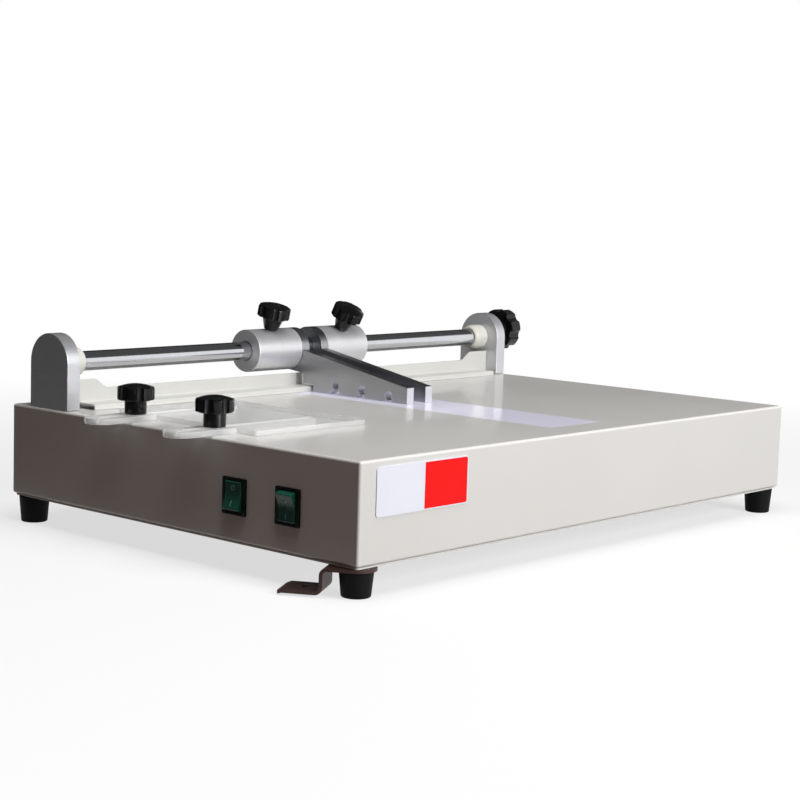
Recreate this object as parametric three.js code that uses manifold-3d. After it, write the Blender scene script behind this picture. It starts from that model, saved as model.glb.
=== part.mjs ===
// Book casing machine: a low sheet-metal table with a lit window, on rubber feet. A shaft runs
// across the back in two end brackets and carries two collars, each with a wedge-shaped gauge
// plate that lies on the table and lifts about the shaft. A bent fence stands under the shaft,
// a clear slotted guide is clamped at the left, and a hold-down bracket swings out under one foot.
//
// Frame: X along the shaft, Y from the operator to the back, Z up, millimetres.
import * as THREE from "three";
import { mergeVertices } from "three/addons/utils/BufferGeometryUtils.js";
import Module from "manifold-3d";

const wasm = await Module();
wasm.setup();

// General fits
const fitGap = 0.3;
const runningGap = 0.5;
const overrun = 4;

// Case: folded sheet, open underneath, with a lip that carries the bottom plate and the feet
const caseLength = 650;
const caseDepth = 455;
const caseHeight = 86;
const caseSheet = 1.5;
const caseBend = 2.5;
const caseCorner = 3.5;
const caseLip = 30;
const bottomPlateThickness = 1.5;
const bottomPlateInset = 2;

// Feet: tapered rubber with a recess for the screw head
const footHeight = 25;
const footTopRadius = 14.5;
const footBottomRadius = 12.5;
const footEdgeRadius = 1.5;
const footInset = 15;
const footRecessRadius = 5.5;
const footRecessDepth = 12;
const footScrewRadius = 2.4;
const footScrewHeadRadius = 4.6;
const footScrewHeadHeight = 3.4;
const footScrewProjection = 4;

// Hold-down bracket: a bent strip clamped above the front left foot, swung out to the side
const strapThickness = 3;
const strapWidth = 34;
const strapBend = 3.5;
const strapWebReach = 27;
const strapTabLength = 31;
const strapTabClearance = 2.2;
const strapTipDrop = 1.4;
const strapTipLength = 4;
const strapHoleRadius = 2.6;
const strapSwing = THREE.MathUtils.degToRad(120);

// Lit window in the table top, with its tray and its lamp board
const windowWidth = 78;
const windowFromFront = 36.5;
const windowUnderFence = 5.5;
const windowThickness = 3.2;
const windowRebate = 6;
const trayDepth = 26;
const trayWall = 1.2;
const lampBoardWidth = 46;
const lampBoardThickness = 1.6;
const lampBoardEndMargin = 14;
const lampBoardStandoff = 3;
const lampWidth = 5;
const lampHeight = 1.4;
const lampRowSpacing = 22;
const lampRows = 2;
const lampsPerRow = 9;

// Power supply on the bottom plate and the inlet in the back wall
const supplyLength = 118;
const supplyWidth = 52;
const supplyHeight = 30;
const supplyFlange = 9;
const supplyFlangeThickness = 2;
const supplyFromBack = 120;
const supplyFromLeft = 150;
const inletFromLeft = 62;
const inletWidth = 48;
const inletHeight = 27;
const inletBezelMargin = 2.5;
const inletBezelThickness = 2;
const inletDepth = 24;
const inletSocketWidth = 24;
const inletSocketHeight = 16.5;
const inletSocketDepth = 15;
const inletSocketCorner = 4;
const inletPinWidth = 2;
const inletPinHeight = 4;
const inletPinLength = 12;
const inletPinSpacing = 7;

// Rocker switches in the left wall
const switchFromFront = 79;
const switchSpacing = 64;
const switchBelowTop = 47;
const switchBezelWidth = 28.2;
const switchBezelHeight = 32;
const switchBezelThickness = 2;
const switchBezelCorner = 1.2;
const switchBodyWidth = 24.6;
const switchBodyHeight = 28.8;
const switchBodyDepth = 22;
const rockerWidth = 21;
const rockerEndRadius = 13.2;
const rockerPivotDepth = 3;
const rockerTipRise = 3.2;
const rockerMiddleRise = 1.2;
const rockerBack = 2;
const rockerTilt = THREE.MathUtils.degToRad(9);

// Blank label plates on the front
const labelFromLeft = 19;
const labelBelowTop = 6.3;
const labelHeight = 41;
const labelPlainLength = 58.5;
const labelRedLength = 55;
const labelThickness = 0.6;
const labelCorner = 3;
const labelInnerCorner = 0.5;

// Shaft, its end brackets and its bushes
const shaftRadius = 9.5;
const shaftChamfer = 1;
const shaftHeight = 43;
const shaftFromBack = 52.5;
const bracketThickness = 15;
const bracketRadius = 28;
const bracketInset = 2;
const bracketEdge = 0.6;
const bracketBoreDepth = 9.5;
const bracketScrewSpacing = 34;
const bracketScrewRadius = 2.5;
const bracketScrewDepth = 14;
const bracketScrewHeadRadius = 4.3;
const bracketScrewHeadHeight = 5;
const bushRadius = 12.2;
const bushFlangeRadius = 14.2;
const bushProjection = 20;
const bushNoseRadius = 7;
const bushNoseWall = 0.8;

// Collars and the gauge plates on their inner ends
const armOffset = 9;
const plateGap = 18;
const plateThickness = 10;
const plateReach = 170.4;
const plateNoseHeight = 16.5;
const plateEdge = 0.5;
const plateNeckSetback = 23;
const plateNeckDrop = 2.4;
const collarRadius = 22;
const collarLength = 62;
const collarChamfer = 1;
const eyeScrewCircle = 16;
const eyeScrewRadius = 1.9;
const eyeScrewHeadRadius = 3.6;
const eyeScrewHeadHeight = 2;
const eyeScrewDepth = 12;
const eyeScrewTurns = [THREE.MathUtils.degToRad(62), THREE.MathUtils.degToRad(242)];

// Keyhole notches in the lower edge of each gauge plate
const notchFromNose = 25;
const notchSpacing = 37.3;
const notchRadius = 4.6;
const notchNoseHeight = 5.6;
const notchHeightStep = 2.2;
const notchNeck = 5;
const notchFlare = 3.4;
const notchCount = 3;
const notchFootClearance = 2.5;
const notchToeClearance = 4;

// Fence: a sheet folded to a foot and a wall, raised beside each end bracket
const fenceSheet = 1.5;
const fenceSetback = 11;
const fenceFootDepth = 22;
const fenceFootHeight = 5.5;
const fenceHeight = 18;
const fenceEndHeight = 27;
const fenceEndLength = 28;
const fenceSweepLength = 18;
const fenceTabLength = 22;
const fenceTabBottom = 7;
const fenceScrewRadius = 1.9;
const fenceScrewHeadRadius = 3.6;
const fenceScrewHeadHeight = 2.4;
const fenceScrewDepth = 8;
const fenceFootEndSetback = 12;

// Star knobs
const knobLobes = 7;
const knobLobeSteps = 6;
const knobLobeDepthShare = 0.13;
const knobRadius = 17;
const knobHeadHeight = 12;
const knobDomeRise = 2.8;
const knobBevel = 1.4;
const knobHubHeight = 13;
const knobHubRadius = 10;
const knobStemRadius = 7.5;
const knobFlareRadius = 11;
const knobBoreMargin = 1;
const clampStudRadius = 3;
const clampStudInsert = 10;
const collarKnobTurns = { left: THREE.MathUtils.degToRad(13), right: THREE.MathUtils.degToRad(28) };

// Lock knob at the right end of the shaft
const lockKnobRadius = 24;
const lockKnobHeadHeight = 17;
const lockKnobDomeRise = 4;
const lockKnobHubHeight = 18;
const lockKnobHubRadius = 13.5;
const lockKnobOffset = 7.5;

// Clear guide: one sheet with two slotted legs that reach past the left edge of the table
const guideThickness = 5;
const guideOverhang = 37;
const guideLength = 204;
const guideBodyLength = 138;
const guideBodyWidth = 184;
const guideFromFence = 34;
const guideLegSpacing = 105.5;
const guideLegWidth = 30;
const guideSlotFromTip = 17;
const guideSlotFromRight = 32;
const guideCorner = 3;
const guideStudRadius = 4;
const guideStudFromEdge = 17;
const guideStudLength = 13;
const guideStudHeadRadius = 7;
const guideStudHeadHeight = 3.5;

// Facets of round shapes
const roundSteps = 32;
const smallRoundSteps = 16;
const arcSteps = 8;
const bendSteps = 3;
const domeSteps = 3;

// Levels and places that several pieces share
const bottomPlateBottom = footHeight + fitGap;
const caseBottom = bottomPlateBottom + bottomPlateThickness + fitGap;
const tableTop = caseBottom + caseHeight;
const tableUnderside = tableTop - caseSheet;
const caseLeft = -caseLength / 2;
const caseFront = -caseDepth / 2;
const shaftY = caseDepth / 2 - shaftFromBack;
const shaftZ = tableTop + shaftHeight;
const bracketInnerX = caseLength / 2 - bracketInset - bracketThickness;
const boreBottomX = bracketInnerX + bracketBoreDepth;
const fenceEndX = bracketInnerX - fitGap;
const fenceWallBack = shaftY - fenceSetback;
const fenceWallFront = fenceWallBack - fenceSheet;
const fenceToe = fenceWallFront - fenceFootDepth;
const guideTipX = caseLeft - guideOverhang;
const guideRightX = guideTipX + guideLength;
const guideMiddleY = fenceToe - guideFromFence - guideBodyWidth / 2;
const guideTop = tableTop + fitGap + guideThickness;
const fenceScrewY = fenceWallBack + fenceTabLength / 2;
const fenceScrewZ = tableTop + (fenceTabBottom + fenceEndHeight) / 2;
const lockSeatX = bracketInnerX + bracketThickness + runningGap;
const windowLeft = armOffset - windowWidth / 2;
const windowRight = armOffset + windowWidth / 2;
const windowFront = caseFront + windowFromFront;
const windowBack = fenceToe + windowUnderFence;
const windowRimTop = tableUnderside - fitGap;
const windowUnderside = windowRimTop - windowThickness / 2;
const trayFlangeTop = windowUnderside - fitGap;
const trayFloorTop = trayFlangeTop - trayDepth + trayWall;
const inletX = caseLeft + inletFromLeft;
const inletZ = caseBottom + caseHeight / 2;

// Materials
const surface = (color, roughness, metalness) =>
  new THREE.MeshStandardMaterial({ color, roughness, metalness });
const creamPaint = surface(0xd8d4c8, 0.42, 0);
const satinAluminium = surface(0xb9babd, 0.38, 1);
const plateSteel = surface(0x8f9093, 0.42, 1);
const chrome = surface(0xcfd0d6, 0.12, 1);
const zinc = surface(0xa9b0b5, 0.35, 1);
const blackPlastic = surface(0x0b0c0f, 0.25, 0);
const blackRubber = surface(0x14171a, 0.8, 0);
const nylon = surface(0xe2e2d8, 0.45, 0);
const clearAcrylic = surface(0xdfe3e2, 0.08, 0);
const opalAcrylic = surface(0xd9d4e4, 0.3, 0);
const greenLens = surface(0x12614e, 0.2, 0);
const bronzePaint = surface(0x3d2626, 0.4, 0.4);
const whiteLabel = surface(0xeef0fa, 0.35, 0);
const redLabel = surface(0xd8100c, 0.35, 0);
const greenBoard = surface(0x1f4a33, 0.5, 0);

// Axis frames: where an outline's own x, y and depth point in the machine's frame
const alongX = new THREE.Matrix4().makeBasis(
  new THREE.Vector3(0, 1, 0),
  new THREE.Vector3(0, 0, 1),
  new THREE.Vector3(1, 0, 0),
);
const alongY = new THREE.Matrix4().makeBasis(
  new THREE.Vector3(-1, 0, 0),
  new THREE.Vector3(0, 0, 1),
  new THREE.Vector3(0, 1, 0),
);
const towardsFront = new THREE.Matrix4().makeBasis(
  new THREE.Vector3(1, 0, 0),
  new THREE.Vector3(0, 0, 1),
  new THREE.Vector3(0, -1, 0),
);

// A closed solid made from a three.js geometry.
function solidOf(geometry) {
  const plain = geometry.index ? geometry.toNonIndexed() : geometry.clone();
  plain.deleteAttribute("normal");
  plain.deleteAttribute("uv");
  const merged = mergeVertices(plain);
  const corners = merged.index.array;
  const kept = [];
  for (let start = 0; start < corners.length; start += 3) {
    const [a, b, c] = [corners[start], corners[start + 1], corners[start + 2]];
    if (a !== b && b !== c && c !== a) kept.push(a, b, c);
  }
  const mesh = new wasm.Mesh({
    numProp: 3,
    vertProperties: merged.attributes.position.array,
    triVerts: new Uint32Array(kept),
  });
  return new wasm.Manifold(mesh);
}

// A named, coloured mesh made from a solid.
function meshOf(name, solid, material) {
  const data = solid.getMesh();
  const geometry = new THREE.BufferGeometry();
  geometry.setAttribute("position", new THREE.BufferAttribute(data.vertProperties, 3));
  geometry.setIndex(new THREE.BufferAttribute(data.triVerts, 1));
  geometry.computeVertexNormals();
  const mesh = new THREE.Mesh(geometry, material);
  mesh.name = name;
  return mesh;
}

// A block between two corners.
function block(x0, x1, y0, y1, z0, z1) {
  const geometry = new THREE.BoxGeometry(x1 - x0, y1 - y0, z1 - z0);
  geometry.translate((x0 + x1) / 2, (y0 + y1) / 2, (z0 + z1) / 2);
  return solidOf(geometry);
}

// An outline drawn in millimetres and pushed out along its own depth from 0.
function extruded(shape, depth, { bevel = 0, steps = arcSteps, bevelSteps = 1 } = {}) {
  const geometry = new THREE.ExtrudeGeometry(shape, {
    depth: depth - 2 * bevel,
    bevelEnabled: bevel > 0,
    bevelThickness: bevel,
    bevelSize: bevel,
    bevelOffset: -bevel,
    bevelSegments: bevelSteps,
    curveSegments: steps,
  });
  geometry.translate(0, 0, bevel);
  return geometry;
}

// A rectangle with round corners, centred on a point.
function roundedRectangle(width, height, radius, centreX = 0, centreY = 0) {
  const right = centreX + width / 2;
  const left = centreX - width / 2;
  const top = centreY + height / 2;
  const bottom = centreY - height / 2;
  const shape = new THREE.Shape();
  shape.moveTo(left + radius, bottom);
  shape.lineTo(right - radius, bottom);
  shape.absarc(right - radius, bottom + radius, radius, -Math.PI / 2, 0);
  shape.lineTo(right, top - radius);
  shape.absarc(right - radius, top - radius, radius, 0, Math.PI / 2);
  shape.lineTo(left + radius, top);
  shape.absarc(left + radius, top - radius, radius, Math.PI / 2, Math.PI);
  shape.lineTo(left, bottom + radius);
  shape.absarc(left + radius, bottom + radius, radius, Math.PI, 1.5 * Math.PI);
  return shape;
}

// A turned body about +Z: the profile lists [radius, height] pairs anticlockwise, and it either
// starts and ends on the axis or closes on itself.
function turned(profile, steps = roundSteps) {
  const points = profile.map(([radius, height]) => new THREE.Vector2(radius, height));
  const geometry = new THREE.LatheGeometry(points, steps);
  geometry.rotateX(Math.PI / 2);
  return geometry;
}

// A plain round bar about +Z from one height to another.
function bar(radius, from, to, steps = smallRoundSteps) {
  return turned([[0, from], [radius, from], [radius, to], [0, to]], steps);
}

// The same geometry laid along X, pointing to +X or, when mirrored, to -X.
function layAlongX(geometry, direction = 1) {
  geometry.rotateY((direction * Math.PI) / 2);
  return geometry;
}

// Star knob about +Z with its seat at 0: hub, lobed head with a domed top, and a blind bore.
function starKnob(size) {
  const { radius, headHeight, domeRise, hubHeight, seatRadius, flareRadius, boreRadius, boreDepth } = size;
  const lobeDepth = radius * knobLobeDepthShare;
  const outline = new THREE.Shape();
  const steps = knobLobes * knobLobeSteps;
  for (let step = 0; step < steps; step += 1) {
    const turn = (2 * Math.PI * step) / steps;
    const wave = Math.abs(Math.cos((knobLobes * turn) / 2));
    const reach = radius - lobeDepth * (1 - wave) ** 2 - lobeDepth * (1 - wave);
    const x = reach * Math.cos(turn);
    const y = reach * Math.sin(turn);
    if (step === 0) outline.moveTo(x, y);
    else outline.lineTo(x, y);
  }
  outline.closePath();
  const star = extruded(outline, headHeight + domeRise, { bevel: knobBevel });
  star.translate(0, 0, hubHeight);
  const top = hubHeight + headHeight;
  const dome = [[0, 0], [seatRadius, 0], [flareRadius, hubHeight], [radius + overrun, hubHeight]];
  for (let step = 0; step <= domeSteps; step += 1) {
    const share = 1 - step / domeSteps;
    dome.push([(radius + overrun) * share, top + domeRise * (1 - share ** 2)]);
  }
  const hubTop = hubHeight + knobBevel;
  const hub = turned([[0, 0], [seatRadius, 0], [flareRadius, hubTop], [0, hubTop]]);
  const envelope = turned(dome);
  const bore = bar(boreRadius, -overrun, boreDepth);
  return solidOf(star).intersect(solidOf(envelope)).add(solidOf(hub)).subtract(solidOf(bore));
}

// Moves a solid that was made about the origin, after an optional turn about one axis.
function placed(solid, x, y, z, axis = null, turn = 0) {
  const matrix = new THREE.Matrix4();
  if (axis) matrix.makeRotationAxis(axis, turn);
  matrix.setPosition(x, y, z);
  return solid.transform(matrix.elements);
}

const axisX = new THREE.Vector3(1, 0, 0);
const axisY = new THREE.Vector3(0, 1, 0);
const axisZ = new THREE.Vector3(0, 0, 1);

// Corners where the feet stand
const feet = [
  { name: "front_left", x: caseLeft + footInset, y: caseFront + footInset, strap: true },
  { name: "front_right", x: -caseLeft - footInset, y: caseFront + footInset, strap: false },
  { name: "back_left", x: caseLeft + footInset, y: -caseFront - footInset, strap: false },
  { name: "back_right", x: -caseLeft - footInset, y: -caseFront - footInset, strap: false },
];

// Places of the clamp studs of the guide
const guideStuds = [
  { name: "back", y: guideMiddleY + guideLegSpacing / 2 },
  { name: "front", y: guideMiddleY - guideLegSpacing / 2 },
];
const guideStudX = caseLeft + guideStudFromEdge;

// Places of the two switches
const switches = [
  { name: "back", y: caseFront + switchFromFront + switchSpacing, tilt: 1 },
  { name: "front", y: caseFront + switchFromFront, tilt: -1 },
];
const switchZ = tableTop - switchBelowTop;

// Places of the screws that hold the end brackets from inside the case
const bracketScrewOffsets = [-bracketScrewSpacing / 2, bracketScrewSpacing / 2];
const bracketMiddleX = bracketInnerX + bracketThickness / 2;

// Folded case with its window, switch, inlet and screw openings
function makeCase() {
  const bodyHeight = caseHeight + caseBend;
  const outer = extruded(roundedRectangle(caseLength, caseDepth, caseCorner), bodyHeight + caseBend, {
    bevel: caseBend,
    steps: bendSteps,
    bevelSteps: bendSteps,
  });
  outer.translate(0, 0, caseBottom - 2 * caseBend);
  const innerBend = caseBend - caseSheet;
  const innerHeight = caseHeight - 2 * caseSheet;
  const inner = extruded(
    roundedRectangle(caseLength - 2 * caseSheet, caseDepth - 2 * caseSheet, caseCorner - caseSheet),
    innerHeight,
    { bevel: innerBend, steps: bendSteps, bevelSteps: bendSteps },
  );
  inner.translate(0, 0, caseBottom + caseSheet);
  const below = block(
    caseLeft - overrun,
    -caseLeft + overrun,
    caseFront - overrun,
    -caseFront + overrun,
    caseBottom - 2 * caseBend - overrun,
    caseBottom,
  );
  const mouth = block(
    caseLeft + caseLip,
    -caseLeft - caseLip,
    caseFront + caseLip,
    -caseFront - caseLip,
    caseBottom - overrun,
    caseBottom + caseSheet + innerBend,
  );
  let shell = solidOf(outer).subtract(below).subtract(solidOf(inner)).subtract(mouth);
  shell = shell.subtract(windowOpening());
  for (const { y } of switches) {
    shell = shell.subtract(
      block(
        caseLeft - overrun,
        caseLeft + overrun,
        y - switchBodyWidth / 2 - fitGap,
        y + switchBodyWidth / 2 + fitGap,
        switchZ - switchBodyHeight / 2 - fitGap,
        switchZ + switchBodyHeight / 2 + fitGap,
      ),
    );
  }
  shell = shell.subtract(
    block(
      inletX - inletWidth / 2 - fitGap,
      inletX + inletWidth / 2 + fitGap,
      -caseFront - overrun,
      -caseFront + overrun,
      inletZ - inletHeight / 2 - fitGap,
      inletZ + inletHeight / 2 + fitGap,
    ),
  );
  for (const { x, y } of feet) {
    const hole = bar(footScrewRadius + fitGap, caseBottom - overrun, caseBottom + caseSheet + overrun);
    shell = shell.subtract(placed(solidOf(hole), x, y, 0));
  }
  for (const side of [-1, 1]) {
    for (const offset of bracketScrewOffsets) {
      const hole = bar(bracketScrewRadius + fitGap, tableUnderside - overrun, tableTop + overrun);
      shell = shell.subtract(placed(solidOf(hole), side * bracketMiddleX, shaftY + offset, 0));
    }
  }
  for (const { y } of guideStuds) {
    const hole = bar(guideStudRadius + fitGap, tableUnderside - overrun, tableTop + overrun);
    shell = shell.subtract(placed(solidOf(hole), guideStudX, y, 0));
  }
  return shell;
}

// A block that follows the window opening, wider by a margin on every side
function windowBlock(margin, from, to) {
  return block(
    windowLeft - margin,
    windowRight + margin,
    windowFront - margin,
    windowBack + margin,
    from,
    to,
  );
}

// The window opening in the table top
function windowOpening() {
  return windowBlock(0, tableUnderside - overrun, tableTop + overrun);
}

// Opal window pane with a rebated rim that lies under the table sheet
function makeWindow() {
  const pane = windowBlock(-fitGap, windowUnderside, tableTop);
  const rim = windowBlock(windowRebate, windowUnderside, windowRimTop);
  return pane.add(rim);
}

// Lamp tray: a folded trough with an outward flange under the rim of the window
function makeTray() {
  const flange = windowBlock(windowRebate, trayFlangeTop - trayWall, trayFlangeTop);
  const trough = windowBlock(trayWall, trayFlangeTop - trayDepth, trayFlangeTop);
  const hollow = windowBlock(0, trayFloorTop, trayFlangeTop + overrun);
  return flange.add(trough).subtract(hollow);
}

// Lamp board with two rows of lamps, on two bars that stand on the tray floor
function makeLampBoard() {
  const y0 = windowFront + lampBoardEndMargin;
  const y1 = windowBack - lampBoardEndMargin;
  const bottom = trayFloorTop + fitGap;
  const boardBottom = bottom + lampBoardStandoff;
  const boardTop = boardBottom + lampBoardThickness;
  const left = armOffset - lampBoardWidth / 2;
  const right = armOffset + lampBoardWidth / 2;
  let board = block(left, right, y0, y1, boardBottom, boardTop);
  for (const y of [y0, y1 - lampBoardEndMargin]) {
    board = board.add(block(left, right, y, y + lampBoardEndMargin, bottom, boardTop));
  }
  const half = lampWidth / 2;
  const pitch = (y1 - y0 - 2 * lampBoardEndMargin) / (lampsPerRow - 1);
  for (let row = 0; row < lampRows; row += 1) {
    const x = armOffset + (row - (lampRows - 1) / 2) * lampRowSpacing;
    for (let index = 0; index < lampsPerRow; index += 1) {
      const y = y0 + lampBoardEndMargin + index * pitch;
      board = board.add(block(x - half, x + half, y - half, y + half, boardBottom, boardTop + lampHeight));
    }
  }
  return board;
}

// Flat plate that closes the case from below
function makeBottomPlate() {
  const plate = extruded(
    roundedRectangle(caseLength - 2 * bottomPlateInset, caseDepth - 2 * bottomPlateInset, caseCorner),
    bottomPlateThickness,
    { steps: bendSteps },
  );
  plate.translate(0, 0, bottomPlateBottom);
  let solid = solidOf(plate);
  for (const { x, y } of feet) {
    const hole = bar(footScrewRadius + fitGap, bottomPlateBottom - overrun, caseBottom + overrun);
    solid = solid.subtract(placed(solidOf(hole), x, y, 0));
  }
  return solid;
}

// Power supply: a closed metal box with two fixing flanges on the bottom plate
function makePowerSupply() {
  const x0 = caseLeft + supplyFromLeft;
  const y1 = -caseFront - supplyFromBack;
  const z0 = bottomPlateBottom + bottomPlateThickness + fitGap;
  const x1 = x0 + supplyLength;
  const y0 = y1 - supplyWidth;
  const body = block(x0, x1, y0, y1, z0, z0 + supplyHeight);
  const foot = block(x0 - supplyFlange, x1 + supplyFlange, y0, y1, z0, z0 + supplyFlangeThickness);
  return body.add(foot);
}

// Mains inlet in the back wall: bezel, body and a recessed socket with three pins
function makeInlet() {
  const bezelFace = -caseFront + fitGap + inletBezelThickness;
  const bezelWidth = inletWidth + 2 * inletBezelMargin;
  const bezelHeight = inletHeight + 2 * inletBezelMargin;
  const bezel = extruded(
    roundedRectangle(bezelWidth, bezelHeight, inletBezelMargin),
    inletBezelThickness,
    { steps: bendSteps },
  );
  bezel.applyMatrix4(alongY);
  bezel.translate(inletX, -caseFront + fitGap, inletZ);
  const body = block(
    inletX - inletWidth / 2,
    inletX + inletWidth / 2,
    bezelFace - inletDepth,
    bezelFace - inletBezelThickness / 2,
    inletZ - inletHeight / 2,
    inletZ + inletHeight / 2,
  );
  const socket = extruded(
    roundedRectangle(inletSocketWidth, inletSocketHeight, inletSocketCorner),
    inletSocketDepth + overrun,
    { steps: bendSteps },
  );
  socket.applyMatrix4(alongY);
  socket.translate(inletX, bezelFace - inletSocketDepth, inletZ);
  let inlet = solidOf(bezel).add(body).subtract(solidOf(socket));
  for (const place of [-1, 0, 1]) {
    const x = inletX + place * inletPinSpacing;
    const z = inletZ - (Math.abs(place) * inletPinHeight) / 2;
    const pin = block(
      x - inletPinWidth / 2,
      x + inletPinWidth / 2,
      bezelFace - inletDepth,
      bezelFace - inletSocketDepth + inletPinLength,
      z - inletPinHeight / 2,
      z + inletPinHeight / 2,
    );
    inlet = inlet.add(pin);
  }
  return inlet;
}

// Switch housing: bezel on the left wall, body behind it and a pocket for the rocker
function makeSwitchHousing(y) {
  const face = caseLeft - fitGap - switchBezelThickness;
  const bezel = extruded(
    roundedRectangle(switchBezelWidth, switchBezelHeight, switchBezelCorner),
    switchBezelThickness,
    { steps: bendSteps },
  );
  bezel.applyMatrix4(alongX);
  bezel.translate(face, y, switchZ);
  const body = block(
    face + switchBezelThickness / 2,
    face + switchBodyDepth,
    y - switchBodyWidth / 2,
    y + switchBodyWidth / 2,
    switchZ - switchBodyHeight / 2,
    switchZ + switchBodyHeight / 2,
  );
  const swing = rockerEndRadius * Math.sin(rockerTilt);
  const pocketDepth = rockerPivotDepth + rockerBack * Math.cos(rockerTilt) + swing + runningGap;
  const pocket = block(
    face - overrun,
    face + pocketDepth,
    y - rockerWidth / 2 - fitGap,
    y + rockerWidth / 2 + fitGap,
    switchZ - rockerEndRadius - runningGap,
    switchZ + rockerEndRadius + runningGap,
  );
  return solidOf(bezel).add(body).subtract(pocket);
}

// Rocker: two faces that meet in a shallow vee, with ends round about the pivot
function makeRocker(y, tilt) {
  const tip = rockerPivotDepth + rockerTipRise;
  const middle = rockerPivotDepth + rockerMiddleRise;
  const tipTurn = Math.asin(tip / rockerEndRadius);
  const backTurn = Math.asin(rockerBack / rockerEndRadius);
  const outline = new THREE.Shape();
  outline.moveTo(middle, 0);
  outline.absarc(0, 0, rockerEndRadius, Math.PI / 2 - tipTurn, Math.PI / 2 + backTurn);
  outline.absarc(0, 0, rockerEndRadius, 1.5 * Math.PI - backTurn, 1.5 * Math.PI + tipTurn);
  outline.closePath();
  const rocker = extruded(outline, rockerWidth, { steps: bendSteps });
  rocker.translate(0, 0, -rockerWidth / 2);
  rocker.rotateZ(tilt * rockerTilt);
  rocker.applyMatrix4(alongY);
  rocker.translate(caseLeft - fitGap - switchBezelThickness + rockerPivotDepth, y, switchZ);
  return solidOf(rocker);
}

// A blank label plate on the front; the outer corners are round
function makeLabel(fromLeft, length, roundLeft, roundRight) {
  const shape = new THREE.Shape();
  const leftRadius = roundLeft ? labelCorner : labelInnerCorner;
  const rightRadius = roundRight ? labelCorner : labelInnerCorner;
  shape.moveTo(leftRadius, 0);
  shape.lineTo(length - rightRadius, 0);
  shape.absarc(length - rightRadius, rightRadius, rightRadius, -Math.PI / 2, 0);
  shape.lineTo(length, labelHeight - rightRadius);
  shape.absarc(length - rightRadius, labelHeight - rightRadius, rightRadius, 0, Math.PI / 2);
  shape.lineTo(leftRadius, labelHeight);
  shape.absarc(leftRadius, labelHeight - leftRadius, leftRadius, Math.PI / 2, Math.PI);
  shape.lineTo(0, leftRadius);
  shape.absarc(leftRadius, leftRadius, leftRadius, Math.PI, 1.5 * Math.PI);
  const plate = extruded(shape, labelThickness, { steps: bendSteps });
  plate.rotateX(Math.PI / 2);
  plate.translate(caseLeft + fromLeft, caseFront - fitGap, tableTop - labelBelowTop - labelHeight);
  return solidOf(plate);
}

// Tapered rubber foot; the one over the hold-down bracket is shorter by the bracket
function makeFoot(x, y, strap) {
  const height = strap ? footHeight - strapThickness - fitGap : footHeight;
  const foot = turned([
    [footScrewRadius + fitGap, footRecessDepth],
    [footRecessRadius, footRecessDepth],
    [footRecessRadius, 0],
    [footBottomRadius - footEdgeRadius, 0],
    [footBottomRadius, footEdgeRadius],
    [footTopRadius, height],
    [footScrewRadius + fitGap, height],
    [footScrewRadius + fitGap, footRecessDepth],
  ]);
  return placed(solidOf(foot), x, y, 0);
}

// Foot screw: its head lies in the recess and its shank reaches through the lip of the case
function makeFootScrew(x, y) {
  const headTop = footRecessDepth - fitGap;
  const screw = turned(
    [
      [0, headTop - footScrewHeadHeight],
      [footScrewHeadRadius, headTop - footScrewHeadHeight],
      [footScrewHeadRadius, headTop],
      [footScrewRadius, headTop],
      [footScrewRadius, caseBottom + caseSheet + footScrewProjection],
      [0, caseBottom + caseSheet + footScrewProjection],
    ],
    smallRoundSteps,
  );
  return placed(solidOf(screw), x, y, 0);
}

// Hold-down bracket: a strip bent to a flange under the case, a web and a tab near the bench
function makeStrap() {
  const top = footHeight;
  const tabBottom = strapTabClearance;
  const outer = strapBend + strapThickness;
  const profile = new THREE.Shape();
  const reach = strapWebReach;
  const bendX = reach + outer - strapThickness;
  profile.moveTo(-strapWidth / 2, top);
  profile.lineTo(-strapWidth / 2, top - strapThickness);
  profile.lineTo(reach - outer, top - strapThickness);
  profile.absarc(reach - outer, top - outer, strapBend, Math.PI / 2, 0, true);
  profile.lineTo(reach - strapThickness, tabBottom + outer);
  profile.absarc(bendX, tabBottom + outer, outer, Math.PI, 1.5 * Math.PI);
  profile.lineTo(reach + strapTabLength, tabBottom);
  profile.lineTo(reach + strapTabLength + strapTipLength, tabBottom - strapTipDrop);
  profile.lineTo(reach + strapTabLength + strapTipLength, tabBottom - strapTipDrop + strapThickness);
  profile.lineTo(reach + strapTabLength, tabBottom + strapThickness);
  profile.lineTo(bendX, tabBottom + strapThickness);
  profile.absarc(bendX, tabBottom + outer, strapBend, 1.5 * Math.PI, Math.PI, true);
  profile.lineTo(reach, top - outer);
  profile.absarc(reach - outer, top - outer, outer, 0, Math.PI / 2);
  profile.closePath();
  const strip = extruded(profile, strapWidth, { steps: bendSteps + 1 });
  strip.translate(0, 0, -strapWidth / 2);
  strip.applyMatrix4(towardsFront);
  const length = reach + strapTabLength + strapTipLength + strapWidth / 2;
  const plan = new THREE.Shape();
  plan.moveTo(0, -strapWidth / 2);
  plan.lineTo(length - strapWidth / 2, -strapWidth / 2);
  plan.lineTo(length - strapWidth / 2, strapWidth / 2);
  plan.lineTo(0, strapWidth / 2);
  plan.absarc(0, 0, strapWidth / 2, Math.PI / 2, 1.5 * Math.PI);
  const cutter = extruded(plan, top + 2 * overrun, { steps: arcSteps });
  cutter.translate(0, 0, -overrun);
  const screwHole = bar(footScrewRadius + fitGap, -overrun, top + overrun);
  const tabHole = bar(strapHoleRadius, -overrun, top + overrun);
  const strap = solidOf(strip)
    .intersect(solidOf(cutter))
    .subtract(solidOf(screwHole))
    .subtract(placed(solidOf(tabHole), reach + strapTabLength / 2, 0, 0));
  return placed(strap, feet[0].x, feet[0].y, 0, axisZ, strapSwing);
}

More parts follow.
